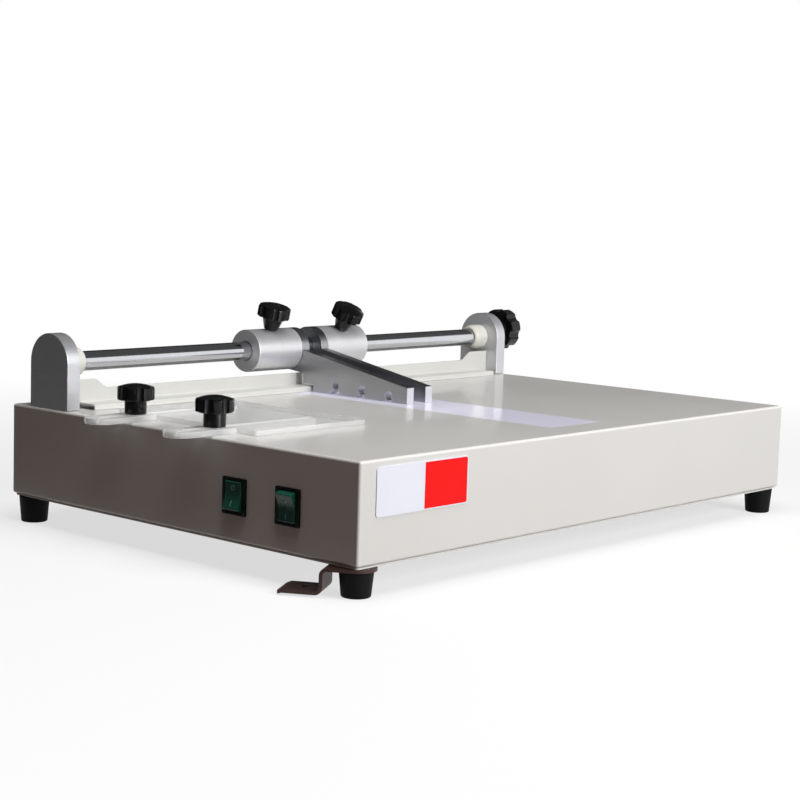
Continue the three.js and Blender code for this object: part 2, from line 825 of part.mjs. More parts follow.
// End bracket: a thick plate with a round top, bored from its inner face for the bush
function makeEndBracket(side) {
  const outline = new THREE.Shape();
  const foot = -shaftHeight + fitGap;
  outline.moveTo(-bracketRadius, foot);
  outline.lineTo(bracketRadius, foot);
  outline.lineTo(bracketRadius, 0);
  outline.absarc(0, 0, bracketRadius, 0, Math.PI);
  outline.lineTo(-bracketRadius, foot);
  const plate = extruded(outline, bracketThickness, { bevel: bracketEdge, steps: 2 * arcSteps });
  plate.applyMatrix4(alongX);
  plate.translate(side > 0 ? bracketInnerX : -bracketInnerX - bracketThickness, shaftY, shaftZ);
  const bore = layAlongX(bar(bushRadius + fitGap, -overrun, bracketBoreDepth, roundSteps), side);
  let bracket = solidOf(plate).subtract(placed(solidOf(bore), side * bracketInnerX, shaftY, shaftZ));
  for (const offset of bracketScrewOffsets) {
    const holeTop = tableTop + bracketScrewDepth + fitGap;
    const hole = bar(bracketScrewRadius + fitGap, tableTop - overrun, holeTop);
    bracket = bracket.subtract(placed(solidOf(hole), side * bracketMiddleX, shaftY + offset, 0));
  }
  const tabHole = layAlongX(bar(fenceScrewRadius + fitGap, -overrun, fenceScrewDepth + fitGap), side);
  bracket = bracket.subtract(placed(solidOf(tabHole), side * bracketInnerX, fenceScrewY, fenceScrewZ));
  if (side > 0) {
    const lockHole = layAlongX(bar(clampStudRadius + fitGap, 0, bracketThickness + overrun));
    bracket = bracket.subtract(placed(solidOf(lockHole), bracketInnerX, shaftY, shaftZ + lockKnobOffset));
  }
  return bracket;
}

// Screw that holds an end bracket from inside the case
function makeBracketScrew(side, offset) {
  const headTop = tableUnderside - fitGap;
  const screw = turned(
    [
      [0, headTop - bracketScrewHeadHeight],
      [bracketScrewHeadRadius, headTop - bracketScrewHeadHeight],
      [bracketScrewHeadRadius, headTop],
      [bracketScrewRadius, headTop],
      [bracketScrewRadius, tableTop + bracketScrewDepth],
      [0, tableTop + bracketScrewDepth],
    ],
    smallRoundSteps,
  );
  return placed(solidOf(screw), side * bracketMiddleX, shaftY + offset, 0);
}

// Flanged plain bush with a rounded nose, pressed into the bracket's bore
function makeBush(side) {
  const bore = shaftRadius + fitGap;
  const profile = [
    [bore, -bracketBoreDepth + fitGap],
    [bushRadius, -bracketBoreDepth + fitGap],
    [bushRadius, fitGap],
    [bushFlangeRadius, fitGap],
  ];
  const noseTop = bushProjection - fitGap;
  const noseDrop = bushFlangeRadius - bore - bushNoseWall;
  for (let step = 0; step <= arcSteps / 2; step += 1) {
    const turn = (Math.PI * step) / arcSteps;
    profile.push([
      bushFlangeRadius - noseDrop * (1 - Math.cos(turn)),
      noseTop - bushNoseRadius * (1 - Math.sin(turn)),
    ]);
  }
  profile.push([bore, noseTop], [bore, -bracketBoreDepth + fitGap]);
  const bush = layAlongX(turned(profile), -side);
  return placed(solidOf(bush), side * bracketInnerX, shaftY, shaftZ);
}

// Ground shaft with chamfered ends, between the bottoms of the two bores
function makeShaft() {
  const half = boreBottomX - fitGap;
  const shaft = turned([
    [0, -half],
    [shaftRadius - shaftChamfer, -half],
    [shaftRadius, -half + shaftChamfer],
    [shaftRadius, half - shaftChamfer],
    [shaftRadius - shaftChamfer, half],
    [0, half],
  ]);
  return placed(solidOf(layAlongX(shaft)), 0, shaftY, shaftZ);
}

// Places along the shaft of one arm: its plate's two faces and its collar's middle
function armPlaces(side) {
  const plateInner = armOffset + (side * plateGap) / 2;
  const plateOuter = plateInner + side * plateThickness;
  const collarInner = plateOuter + side * fitGap;
  const collarMiddle = collarInner + (side * collarLength) / 2;
  return { plateInner, plateOuter, collarInner, collarMiddle };
}

// The direction of a collar's knob, tipped to the front from straight up
function knobDirection(side) {
  const turn = side > 0 ? collarKnobTurns.right : collarKnobTurns.left;
  return new THREE.Vector3(0, -Math.sin(turn), Math.cos(turn));
}

// Collar: a turned sleeve with a tapped hole for its knob and two for the plate's screws
function makeCollar(side) {
  const { collarInner, collarMiddle } = armPlaces(side);
  const sleeve = turned([
    [shaftRadius + fitGap, 0],
    [collarRadius, 0],
    [collarRadius, collarLength - collarChamfer],
    [collarRadius - collarChamfer, collarLength],
    [shaftRadius + fitGap, collarLength],
    [shaftRadius + fitGap, 0],
  ]);
  const hole = solidOf(bar(clampStudRadius + fitGap, 0, collarRadius + overrun));
  let collar = placed(solidOf(layAlongX(sleeve, side)), collarInner, shaftY, shaftZ);
  const turn = side > 0 ? collarKnobTurns.right : collarKnobTurns.left;
  collar = collar.subtract(placed(hole, collarMiddle, shaftY, shaftZ, axisX, turn));
  for (const screwTurn of eyeScrewTurns) {
    const thread = layAlongX(bar(eyeScrewRadius + fitGap, -overrun, eyeScrewDepth), side);
    const { y, z } = eyeScrewPlace(screwTurn);
    collar = collar.subtract(placed(solidOf(thread), collarInner, y, z));
  }
  return collar;
}

// Where an eye screw stands round the shaft
function eyeScrewPlace(turn) {
  return { y: shaftY + eyeScrewCircle * Math.cos(turn), z: shaftZ + eyeScrewCircle * Math.sin(turn) };
}

// Outline of a gauge plate about the shaft, nose to -x: an eye round the shaft, a straight
// sloping back, a nose, a lower edge with keyholes and a step that clears the fence's foot
function gaugePlateOutline() {
  const bottom = -shaftHeight + fitGap;
  const nose = -plateReach;
  const stepFront = fenceToe - shaftY - notchToeClearance;
  const stepTop = -shaftHeight + fenceFootHeight + notchFootClearance;
  const neckBack = -plateNeckSetback;
  const outline = new THREE.Shape();
  outline.moveTo(nose, bottom);
  const neck = notchNeck / 2;
  const neckTurn = Math.asin(neck / notchRadius);
  for (let index = 0; index < notchCount; index += 1) {
    const middle = nose + notchFromNose + index * notchSpacing;
    const centre = bottom + notchNoseHeight + index * notchHeightStep;
    const neckTop = centre - notchRadius * Math.cos(neckTurn);
    const flareTop = Math.min(bottom + notchFlare, neckTop);
    const flareMiddle = (bottom + flareTop) / 2;
    outline.lineTo(middle - neck - notchFlare, bottom);
    outline.lineTo(middle - neck, flareMiddle);
    outline.absarc(middle, centre, notchRadius, 1.5 * Math.PI - neckTurn, -Math.PI / 2 + neckTurn, true);
    outline.lineTo(middle + neck, flareMiddle);
    outline.lineTo(middle + neck + notchFlare, bottom);
  }
  outline.lineTo(stepFront, bottom);
  outline.lineTo(stepFront, stepTop);
  outline.lineTo(neckBack, stepTop);
  outline.lineTo(neckBack, -collarRadius - plateNeckDrop);
  outline.absarc(0, 0, collarRadius, -Math.PI / 2, Math.PI / 4);
  outline.absarc(0, 0, collarRadius, Math.PI / 4, Math.PI);
  outline.lineTo(nose, bottom - fitGap + plateNoseHeight);
  outline.closePath();
  const bore = new THREE.Path();
  bore.absarc(0, 0, shaftRadius + fitGap, 2 * Math.PI, Math.PI, true);
  bore.absarc(0, 0, shaftRadius + fitGap, Math.PI, 0, true);
  outline.holes.push(bore);
  return outline;
}

// Gauge plate on the inner end of its collar
function makeGaugePlate(side) {
  const { plateInner, plateOuter } = armPlaces(side);
  const plate = extruded(gaugePlateOutline(), plateThickness, { bevel: plateEdge });
  plate.applyMatrix4(alongX);
  plate.translate(Math.min(plateInner, plateOuter), shaftY, shaftZ);
  let solid = solidOf(plate);
  for (const turn of eyeScrewTurns) {
    const seat = turned(
      [
        [0, -overrun],
        [eyeScrewHeadRadius + fitGap, -overrun],
        [eyeScrewHeadRadius + fitGap, eyeScrewHeadHeight],
        [eyeScrewRadius + fitGap, eyeScrewHeadHeight],
        [eyeScrewRadius + fitGap, plateThickness + overrun],
        [0, plateThickness + overrun],
      ],
      smallRoundSteps,
    );
    const { y, z } = eyeScrewPlace(turn);
    solid = solid.subtract(placed(solidOf(layAlongX(seat, side)), plateInner, y, z));
  }
  return solid;
}

// Screw through a gauge plate's eye into the end of its collar
function makeEyeScrew(side, turn) {
  const { plateInner } = armPlaces(side);
  const tip = plateThickness + eyeScrewDepth - fitGap;
  const screw = turned(
    [
      [0, fitGap],
      [eyeScrewHeadRadius, fitGap],
      [eyeScrewHeadRadius, eyeScrewHeadHeight - fitGap],
      [eyeScrewRadius, eyeScrewHeadHeight - fitGap],
      [eyeScrewRadius, tip],
      [0, tip],
    ],
    smallRoundSteps,
  );
  const { y, z } = eyeScrewPlace(turn);
  return placed(solidOf(layAlongX(screw, side)), plateInner, y, z);
}

// Knob of a collar and the stud that it turns against the shaft
function makeCollarKnob(side) {
  const { collarMiddle } = armPlaces(side);
  const direction = knobDirection(side);
  const turn = side > 0 ? collarKnobTurns.right : collarKnobTurns.left;
  const seat = collarRadius + runningGap;
  const knob = starKnob({
    radius: knobRadius,
    headHeight: knobHeadHeight,
    domeRise: knobDomeRise,
    hubHeight: knobHubHeight,
    seatRadius: knobStemRadius,
    flareRadius: knobFlareRadius,
    boreRadius: clampStudRadius + fitGap,
    boreDepth: clampStudInsert + fitGap,
  });
  return placed(knob, collarMiddle, shaftY + seat * direction.y, shaftZ + seat * direction.z, axisX, turn);
}

function makeCollarStud(side) {
  const { collarMiddle } = armPlaces(side);
  const turn = side > 0 ? collarKnobTurns.right : collarKnobTurns.left;
  const stud = bar(clampStudRadius, shaftRadius + fitGap, collarRadius + runningGap + clampStudInsert);
  return placed(solidOf(stud), collarMiddle, shaftY, shaftZ, axisX, turn);
}

// Larger knob beyond the right bracket; its stud bears on the end face of the shaft
function makeLockKnob() {
  const knob = starKnob({
    radius: lockKnobRadius,
    headHeight: lockKnobHeadHeight,
    domeRise: lockKnobDomeRise,
    hubHeight: lockKnobHubHeight,
    seatRadius: lockKnobHubRadius,
    flareRadius: lockKnobHubRadius,
    boreRadius: clampStudRadius + fitGap,
    boreDepth: clampStudInsert + fitGap,
  });
  return placed(knob, lockSeatX, shaftY, shaftZ + lockKnobOffset, axisY, Math.PI / 2);
}

function makeLockStud() {
  const stud = layAlongX(bar(clampStudRadius, boreBottomX, lockSeatX + clampStudInsert));
  return placed(solidOf(stud), 0, shaftY, shaftZ + lockKnobOffset);
}

// Fence: foot and wall of one folded sheet, with end tabs that are screwed to the brackets
function makeFence() {
  const bottom = tableTop + fitGap;
  const footTop = tableTop + fenceFootHeight;
  const wall = new THREE.Shape();
  const low = tableTop + fenceHeight;
  const high = tableTop + fenceEndHeight;
  const sweepStart = fenceEndX - fenceEndLength - fenceSweepLength;
  const sweepEnd = fenceEndX - fenceEndLength;
  const sweepMiddle = (sweepStart + sweepEnd) / 2;
  wall.moveTo(-fenceEndX, footTop - fenceSheet);
  wall.lineTo(fenceEndX, footTop - fenceSheet);
  wall.lineTo(fenceEndX, high);
  wall.lineTo(sweepEnd, high);
  wall.bezierCurveTo(sweepMiddle, high, sweepMiddle, low, sweepStart, low);
  wall.lineTo(-sweepStart, low);
  wall.bezierCurveTo(-sweepMiddle, low, -sweepMiddle, high, -sweepEnd, high);
  wall.lineTo(-fenceEndX, high);
  wall.closePath();
  const upright = extruded(wall, fenceSheet, { steps: arcSteps });
  upright.applyMatrix4(towardsFront);
  upright.translate(0, fenceWallBack, 0);
  const fold = new THREE.Shape();
  const bend = fenceSheet;
  fold.moveTo(fenceToe, bottom);
  fold.lineTo(fenceToe + fenceSheet, bottom);
  fold.lineTo(fenceToe + fenceSheet, footTop - fenceSheet);
  fold.lineTo(fenceWallBack, footTop - fenceSheet);
  fold.lineTo(fenceWallBack, footTop);
  fold.lineTo(fenceToe + bend, footTop);
  fold.absarc(fenceToe + bend, footTop - bend, bend, Math.PI / 2, Math.PI);
  fold.closePath();
  const footEndX = fenceEndX - fenceFootEndSetback;
  const foot = extruded(fold, 2 * footEndX, { steps: bendSteps });
  foot.applyMatrix4(alongX);
  foot.translate(-footEndX, 0, 0);
  let fence = solidOf(upright).add(solidOf(foot));
  for (const side of [-1, 1]) {
    const edges = [side * fenceEndX, side * (fenceEndX - fenceSheet)].sort((a, b) => a - b);
    const tabBack = fenceWallBack + fenceTabLength;
    const tab = block(edges[0], edges[1], fenceWallFront, tabBack, tableTop + fenceTabBottom, high);
    const hole = layAlongX(bar(fenceScrewRadius + fitGap, -overrun, overrun));
    fence = fence.add(tab).subtract(placed(solidOf(hole), side * fenceEndX, fenceScrewY, fenceScrewZ));
  }
  return fence;
}

function makeFenceScrew(side) {
  const seat = fenceSheet + fitGap;
  const screw = turned(
    [
      [0, -fenceScrewDepth - fitGap],
      [fenceScrewRadius, -fenceScrewDepth - fitGap],
      [fenceScrewRadius, seat],
      [fenceScrewHeadRadius, seat],
      [fenceScrewHeadRadius, seat + fenceScrewHeadHeight],
      [0, seat + fenceScrewHeadHeight],
    ],
    smallRoundSteps,
  );
  return placed(solidOf(layAlongX(screw, -side)), side * fenceEndX, fenceScrewY, fenceScrewZ);
}

// Clear guide: a plain body and two legs with round ends, each leg with a long slot
function makeGuide() {
  const bodyLeft = guideRightX - guideBodyLength;
  const legHalf = guideLegWidth / 2;
  const legX = guideTipX + legHalf;
  const shape = new THREE.Shape();
  const backLeg = guideMiddleY + guideLegSpacing / 2;
  const frontLeg = guideMiddleY - guideLegSpacing / 2;
  const y0 = guideMiddleY - guideBodyWidth / 2;
  const y1 = guideMiddleY + guideBodyWidth / 2;
  shape.moveTo(bodyLeft + guideCorner, y0);
  shape.lineTo(guideRightX - guideCorner, y0);
  shape.absarc(guideRightX - guideCorner, y0 + guideCorner, guideCorner, -Math.PI / 2, 0);
  shape.lineTo(guideRightX, y1 - guideCorner);
  shape.absarc(guideRightX - guideCorner, y1 - guideCorner, guideCorner, 0, Math.PI / 2);
  shape.lineTo(bodyLeft + guideCorner, y1);
  shape.absarc(bodyLeft + guideCorner, y1 - guideCorner, guideCorner, Math.PI / 2, Math.PI);
  shape.lineTo(bodyLeft, backLeg + legHalf);
  shape.lineTo(legX, backLeg + legHalf);
  shape.absarc(legX, backLeg, legHalf, Math.PI / 2, 1.5 * Math.PI);
  shape.lineTo(bodyLeft, backLeg - legHalf);
  shape.lineTo(bodyLeft, frontLeg + legHalf);
  shape.lineTo(legX, frontLeg + legHalf);
  shape.absarc(legX, frontLeg, legHalf, Math.PI / 2, 1.5 * Math.PI);
  shape.lineTo(bodyLeft, frontLeg - legHalf);
  shape.lineTo(bodyLeft, y0 + guideCorner);
  shape.absarc(bodyLeft + guideCorner, y0 + guideCorner, guideCorner, Math.PI, 1.5 * Math.PI);
  const slotHalf = guideStudRadius + runningGap;
  for (const middle of [backLeg, frontLeg]) {
    const slot = new THREE.Path();
    const from = guideTipX + guideSlotFromTip;
    const to = guideRightX - guideSlotFromRight;
    slot.moveTo(from, middle - slotHalf);
    slot.lineTo(to, middle - slotHalf);
    slot.absarc(to, middle, slotHalf, -Math.PI / 2, Math.PI / 2);
    slot.lineTo(from, middle + slotHalf);
    slot.absarc(from, middle, slotHalf, Math.PI / 2, 1.5 * Math.PI);
    shape.holes.push(slot);
  }
  const sheet = extruded(shape, guideThickness, { steps: arcSteps });
  sheet.translate(0, 0, tableTop + fitGap);
  return solidOf(sheet);
}

// Clamp stud of the guide: its head lies under the table sheet
function makeGuideStud(y) {
  const headTop = tableUnderside - fitGap;
  const tip = guideTop + fitGap + guideStudLength;
  const stud = turned(
    [
      [0, headTop - guideStudHeadHeight],
      [guideStudHeadRadius, headTop - guideStudHeadHeight],
      [guideStudHeadRadius, headTop],
      [guideStudRadius, headTop],
      [guideStudRadius, tip],
      [0, tip],
    ],
    smallRoundSteps,
  );
  return placed(solidOf(stud), guideStudX, y, 0);
}

function makeGuideKnob(y) {
  const knob = starKnob({
    radius: knobRadius,
    headHeight: knobHeadHeight,
    domeRise: knobDomeRise,
    hubHeight: knobHubHeight,
    seatRadius: knobHubRadius,
    flareRadius: knobHubRadius,
    boreRadius: guideStudRadius + fitGap,
    boreDepth: guideStudLength + knobBoreMargin,
  });
  return placed(knob, guideStudX, y, guideTop + fitGap);
}

// Assembly
const machine = new THREE.Group();
const add = (name, solid, material) => machine.add(meshOf(name, solid, material));

add("case_shell", makeCase(), creamPaint);
add("bottom_plate", makeBottomPlate(), creamPaint);
add("light_window", makeWindow(), opalAcrylic);
add("light_tray", makeTray(), satinAluminium);
add("lamp_board", makeLampBoard(), greenBoard);
add("power_supply", makePowerSupply(), satinAluminium);
add("power_inlet", makeInlet(), blackPlastic);

for (const { name, y, tilt } of switches) {
  add(`switch_housing_${name}`, makeSwitchHousing(y), blackPlastic);
  add(`rocker_${name}`, makeRocker(y, tilt), greenLens);
}

add("label_plain", makeLabel(labelFromLeft, labelPlainLength, true, false), whiteLabel);
const redFromLeft = labelFromLeft + labelPlainLength + fitGap;
add("label_red", makeLabel(redFromLeft, labelRedLength, false, true), redLabel);

for (const { name, x, y, strap } of feet) {
  add(`foot_${name}`, makeFoot(x, y, strap), blackRubber);
  add(`foot_screw_${name}`, makeFootScrew(x, y), zinc);
}
add("hold_down_bracket", makeStrap(), bronzePaint);

for (const [side, name] of [[-1, "left"], [1, "right"]]) {
  add(`end_bracket_${name}`, makeEndBracket(side), satinAluminium);
  add(`bush_${name}`, makeBush(side), nylon);
  bracketScrewOffsets.forEach((offset, index) => {
    add(`bracket_screw_${name}_${index + 1}`, makeBracketScrew(side, offset), zinc);
  });
  add(`fence_screw_${name}`, makeFenceScrew(side), zinc);
  add(`collar_${name}`, makeCollar(side), satinAluminium);
  add(`gauge_plate_${name}`, makeGaugePlate(side), plateSteel);
  eyeScrewTurns.forEach((turn, index) => {
    add(`eye_screw_${name}_${index + 1}`, makeEyeScrew(side, turn), zinc);
  });
  add(`collar_knob_${name}`, makeCollarKnob(side), blackPlastic);
  add(`collar_stud_${name}`, makeCollarStud(side), zinc);
}

add("shaft", makeShaft(), chrome);
add("fence", makeFence(), creamPaint);
add("lock_knob", makeLockKnob(), blackPlastic);
add("lock_stud", makeLockStud(), zinc);
add("guide_sheet", makeGuide(), clearAcrylic);
for (const { name, y } of guideStuds) {
  add(`guide_knob_${name}`, makeGuideKnob(y), blackPlastic);
  add(`guide_stud_${name}`, makeGuideStud(y), zinc);
}

// The origin lies under the middle of the machine, on the surface that it stands on
const bounds = new THREE.Box3().setFromObject(machine);
const middle = bounds.getCenter(new THREE.Vector3());
for (const mesh of machine.children) {
  mesh.position.set(-middle.x, -middle.y, -bounds.min.z);
}

export default machine;
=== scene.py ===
"""Looks of a book casing machine: every visible piece, its finish, and the studio around it."""
import logging
import math
from dataclasses import dataclass
from enum import Enum
from typing import Any, Callable, Sequence

import bpy
from mathutils import Matrix, Vector


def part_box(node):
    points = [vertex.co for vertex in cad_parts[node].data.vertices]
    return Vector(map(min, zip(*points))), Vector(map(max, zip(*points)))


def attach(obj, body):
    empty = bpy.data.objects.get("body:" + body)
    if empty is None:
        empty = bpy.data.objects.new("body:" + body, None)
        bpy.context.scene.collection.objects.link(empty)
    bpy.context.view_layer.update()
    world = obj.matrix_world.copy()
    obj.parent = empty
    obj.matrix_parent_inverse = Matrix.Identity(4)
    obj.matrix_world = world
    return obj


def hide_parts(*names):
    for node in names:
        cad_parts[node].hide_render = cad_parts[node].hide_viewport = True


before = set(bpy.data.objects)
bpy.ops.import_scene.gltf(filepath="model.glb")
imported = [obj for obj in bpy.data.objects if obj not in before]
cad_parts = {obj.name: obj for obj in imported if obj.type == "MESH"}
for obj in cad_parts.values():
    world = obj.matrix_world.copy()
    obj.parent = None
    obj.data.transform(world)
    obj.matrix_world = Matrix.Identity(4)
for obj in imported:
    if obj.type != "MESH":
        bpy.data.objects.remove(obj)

MM = 0.001
LOG = logging.getLogger("book_casing_machine")
Outline = list[tuple[float, float]]
Colour = tuple[float, float, float, float]
Triple = tuple[float, float, float]
Node, Socket, Tree = bpy.types.Node, bpy.types.NodeSocket, bpy.types.NodeTree


def colour(red: int, green: int, blue: int) -> Colour:
    """Return a picture colour, 0 to 255 each, as a linear colour with a full alpha."""
    shares = [value / 255 for value in (red, green, blue)]
    return (*(s / 12.92 if s <= 0.04045 else ((s + 0.055) / 1.055) ** 2.4 for s in shares), 1.0)


def scaled(tone: Colour, factor: float) -> Colour:
    """Return a colour made lighter or darker by a factor."""
    return (*(min(1.0, channel * factor) for channel in tone[:3]), 1.0)


def arc(centre: tuple[float, float], radius: float, start: float, end: float, steps: int) -> Outline:
    """Return points on an arc, both ends included.

    Args:
        centre: Middle of the arc.
        radius: Its radius.
        start: First angle in degrees.
        end: Last angle in degrees.
        steps: Number of chords.

    Returns:
        The points.
    """
    angles = [math.radians(start + (end - start) * step / steps) for step in range(steps + 1)]
    return [(centre[0] + radius * math.cos(angle), centre[1] + radius * math.sin(angle)) for angle in angles]


def rounded_rectangle(width: float, height: float, radius: float, steps: int = 6) -> Outline:
    """Return the outline of a rectangle about the origin with round corners.

    Args:
        width: Size along x.
        height: Size along y.
        radius: Corner radius.
        steps: Chords in each corner.

    Returns:
        The outline, anticlockwise.
    """
    x, y = width / 2 - radius, height / 2 - radius
    points: Outline = []
    for cx, cy, start in ((x, y, 0), (-x, y, 90), (-x, -y, 180), (x, -y, 270)):
        points += arc((cx, cy), radius, start, start + 90, steps)
    return points


def thread(low: float, high: float, pitch: float, groove: Outline) -> Outline:
    """Repeat a thread's groove along a turned profile.

    Args:
        low: Height where the thread starts.
        high: Height that it stays under.
        pitch: Height of one groove.
        groove: Radius and share of the pitch of each of its points.

    Returns:
        The profile's points.
    """
    points: Outline = []
    while low + pitch < high:
        points += [(radius, low + pitch * share) for radius, share in groove]
        low += pitch
    return points


def shift(x: float, y: float, z: float) -> Matrix:
    """Return a shift given in millimetres."""
    return Matrix.Translation(Vector((x, y, z)) * MM)


def spin(axis: str, degrees: float) -> Matrix:
    """Return a turn about X, Y or Z."""
    return Matrix.Rotation(math.radians(degrees), 4, axis)


def box(node: str) -> tuple[Vector, Vector, Vector]:
    """Return a node's lowest corner, highest corner and middle, in millimetres."""
    low, high = (Vector(corner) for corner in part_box(node))
    return low / MM, high / MM, (low + high) / 2 / MM


CASE_LOW, CASE_HIGH, _ = box("case_shell")
SHAFT_Y, SHAFT_Z = (sum(ends) / 2 / MM for ends in list(zip(*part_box("shaft")))[1:])
NAMES = ("back", "front")  # the switches, and the guide's clamps
GAP = 0.3  # clearance between pieces that fit into each other
CUT = 5  # how far a cutter stands out of the face that it cuts


def on_shaft(x: float) -> Matrix:
    """Return the shift to a place on the shaft's axis."""
    return shift(x, SHAFT_Y, SHAFT_Z)


class Side(Enum):
    """The left or right end of the shaft, with its sign along X."""

    LEFT = -1
    RIGHT = 1

    @property
    def word(self) -> str:
        """Return the side as the node names spell it."""
        return self.name.lower()

    def inner(self, node: str) -> float:
        """Return the X of a node's face towards the machine's middle."""
        low, high, _ = box(node)
        return high.x if self is Side.LEFT else low.x

    def outward(self) -> Matrix:
        """Return the turn that points an upright piece away from the machine's middle."""
        return spin("Y", 90 * self.value)


class Lay(Enum):
    """How a piece drawn in its own x, y and depth lies, as the three ways that these run."""

    ALONG_X = ((0, 1, 0), (0, 0, 1), (1, 0, 0))
    ALONG_Y = ((-1, 0, 0), (0, 0, 1), (0, 1, 0))
    FRONT = ((1, 0, 0), (0, 0, 1), (0, -1, 0))

    def matrix(self) -> Matrix:
        """Return the turn that lays the piece down."""
        return Matrix(self.value).transposed().to_4x4()


class Graph:
    """Short calls that add and link shader nodes."""

    def __init__(self, tree: Tree) -> None:
        """Keep the tree that the nodes go into."""
        self.tree = tree

    def put(self, socket: Socket, value: Any) -> None:
        """Link an input to another node's output, or set its value.

        Args:
            socket: The input.
            value: The output or the value.
        """
        if isinstance(value, Socket):
            self.tree.links.new(value, socket)
        else:
            socket.default_value = value

    def feed(self, node: Node, **values: Any) -> None:
        """Link or set a node's inputs, named with underscores for spaces."""
        for key, value in values.items():
            self.put(node.inputs[key.replace("_", " ")], value)

    def add(self, kind: str, inputs: dict[Any, Any] | None = None, **settings: Any) -> Node:
        """Add a node.

        Args:
            kind: Node type name.
            inputs: Values or outputs for its inputs, by name or place.
            **settings: Values for the node's own settings.

        Returns:
            The node.
        """
        node = self.tree.nodes.new(kind)
        for key, value in settings.items():
            setattr(node, key, value)
        for key, value in (inputs or {}).items():
            self.put(node.inputs[key], value)
        return node

    def maths(self, operation: str, *values: Any) -> Socket:
        """Add a Math node and return its result."""
        return self.add("ShaderNodeMath", dict(enumerate(values)), operation=operation).outputs[0]

    def vector(self, operation: str, *values: Any) -> Socket:
        """Add a Vector Math node and return its vector."""
        return self.add("ShaderNodeVectorMath", dict(enumerate(values)), operation=operation).outputs[0]

    def noise(self, place: Socket, scale: Any, detail: float) -> Socket:
        """Add a noise at a place and return its value."""
        return self.add("ShaderNodeTexNoise", {"Vector": place, "Scale": scale, "Detail": detail}).outputs[0]

    def place(self) -> Socket:
        """Return the place on the object, in metres."""
        return self.add("ShaderNodeTexCoord").outputs["Object"]

    def mix(self, share: Any, first: Any, second: Any) -> Socket:
        """Return the mix of two colours, by the share of the second."""
        return self.add("ShaderNodeMix", {0: share, 6: first, 7: second}, data_type="RGBA").outputs[2]

    def span(self, value: Socket, *ends: float) -> Socket:
        """Map a value from a span to 0 and 1, or to another span, clamped, and return it."""
        return self.add("ShaderNodeMapRange", {0: value, **dict(enumerate(ends, 1))}).outputs[0]


def new_material(name: str) -> tuple[bpy.types.Material, Graph, Node]:
    """Return a new material with its graph and its shader.

    Args:
        name: Material name.

    Returns:
        The material, the graph and the shader.
    """
    material = bpy.data.materials.new(name)
    material.use_nodes = True
    return material, Graph(material.node_tree), material.node_tree.nodes["Principled BSDF"]


class Effects:
    """Shared surface effects, each a node group built at its first use."""

    @classmethod
    def use(cls, graph: Graph, name: str, **values: Any) -> Node:
        """Place an effect in a material.

        Args:
            graph: The material's graph.
            name: The effect's method here, which is also its group's name.
            **values: Its inputs, with underscores for spaces.

        Returns:
            The group node.
        """
        tree = bpy.data.node_groups.get(name) or getattr(cls, name)()
        node = graph.add("ShaderNodeGroup", node_tree=tree)
        graph.feed(node, **values)
        return node

    @staticmethod
    def start(name: str, given: dict[str, Any], *results: str) -> tuple[Graph, Any, Any]:
        """Make an empty group.

        Args:
            name: Group name.
            given: Default of each input, a number or three, by name.
            *results: Names of its outputs.

        Returns:
            Its graph, the sockets of what is given and the sockets of the results.
        """
        tree = bpy.data.node_groups.new(name, "ShaderNodeTree")
        for label, default in given.items():
            kind = "NodeSocketVector" if isinstance(default, tuple) else "NodeSocketFloat"
            socket = tree.interface.new_socket(name=label, in_out="INPUT", socket_type=kind)
            socket.default_value = default
        for label in results:
            tree.interface.new_socket(name=label, in_out="OUTPUT", socket_type="NodeSocketFloat")
        start, end = tree.nodes.new("NodeGroupInput"), tree.nodes.new("NodeGroupOutput")
        return Graph(tree), start.outputs, end.inputs

    @classmethod
    def surface_grain(cls) -> Tree:
        """Return a fine grain, broad clouds and rare specks.

        Returns:
            The group.
        """
        sizes = {"Grain Size": 900.0, "Cloud Size": 9.0}
        graph, given, results = cls.start("surface_grain", sizes, "Grain", "Cloud", "Specks")
        place = graph.place()
        graph.put(results[0], graph.noise(place, given[0], 2.0))
        graph.put(results[1], graph.span(graph.noise(place, given[1], 3.0), 0.2, 0.8))
        graph.put(results[2], graph.span(graph.noise(place, 160.0, 1.0), 0.74, 0.78))
        return graph.tree

    @classmethod
    def tool_lines(cls) -> Tree:
        """Return fine parallel tool marks, from a stretch along each axis.

        Returns:
            The group.
        """
        stretch = {"Stretch": (1000.0, 10.0, 10.0)}
        graph, given, results = cls.start("tool_lines", stretch, "Lines", "Broad Lines")
        stretched = graph.vector("MULTIPLY", graph.place(), given[0])
        graph.put(results[0], graph.span(graph.noise(stretched, 1.0, 3.0), 0.25, 0.75))
        graph.put(results[1], graph.span(graph.noise(stretched, 0.12, 2.0), 0.3, 0.7))
        return graph.tree

    @classmethod
    def box_edge_wear(cls) -> Tree:
        """Return masks of a box's edges: one broken up as chips, and a soft rub that also paints a lighter
        edge highlight.

        Returns:
            The group.
        """
        sizes = {"Centre": (0.0, 0.0, 0.0), "Half Size": (0.1, 0.1, 0.1), "Reach": 0.002}
        graph, given, results = cls.start("box_edge_wear", sizes, "Chips", "Rub")
        place = graph.place()
        spread = graph.vector("ABSOLUTE", graph.vector("SUBTRACT", place, given[0]))
        depth = graph.add("ShaderNodeSeparateXYZ", {0: graph.vector("SUBTRACT", given[1], spread)})
        near = [graph.maths("LESS_THAN", part, given[2]) for part in depth.outputs]
        count = graph.maths("ADD", graph.maths("ADD", near[0], near[1]), near[2])
        edge = graph.maths("GREATER_THAN", count, 1.5)
        noise = graph.noise(place, 55.0, 4.0)
        graph.put(results[0], graph.maths("MULTIPLY", edge, graph.span(noise, 0.73, 0.75)))
        # A soft rub along the edges, as rubbed paint and a painted highlight
        graph.put(results[1], graph.maths("MULTIPLY", edge, noise))
        return graph.tree


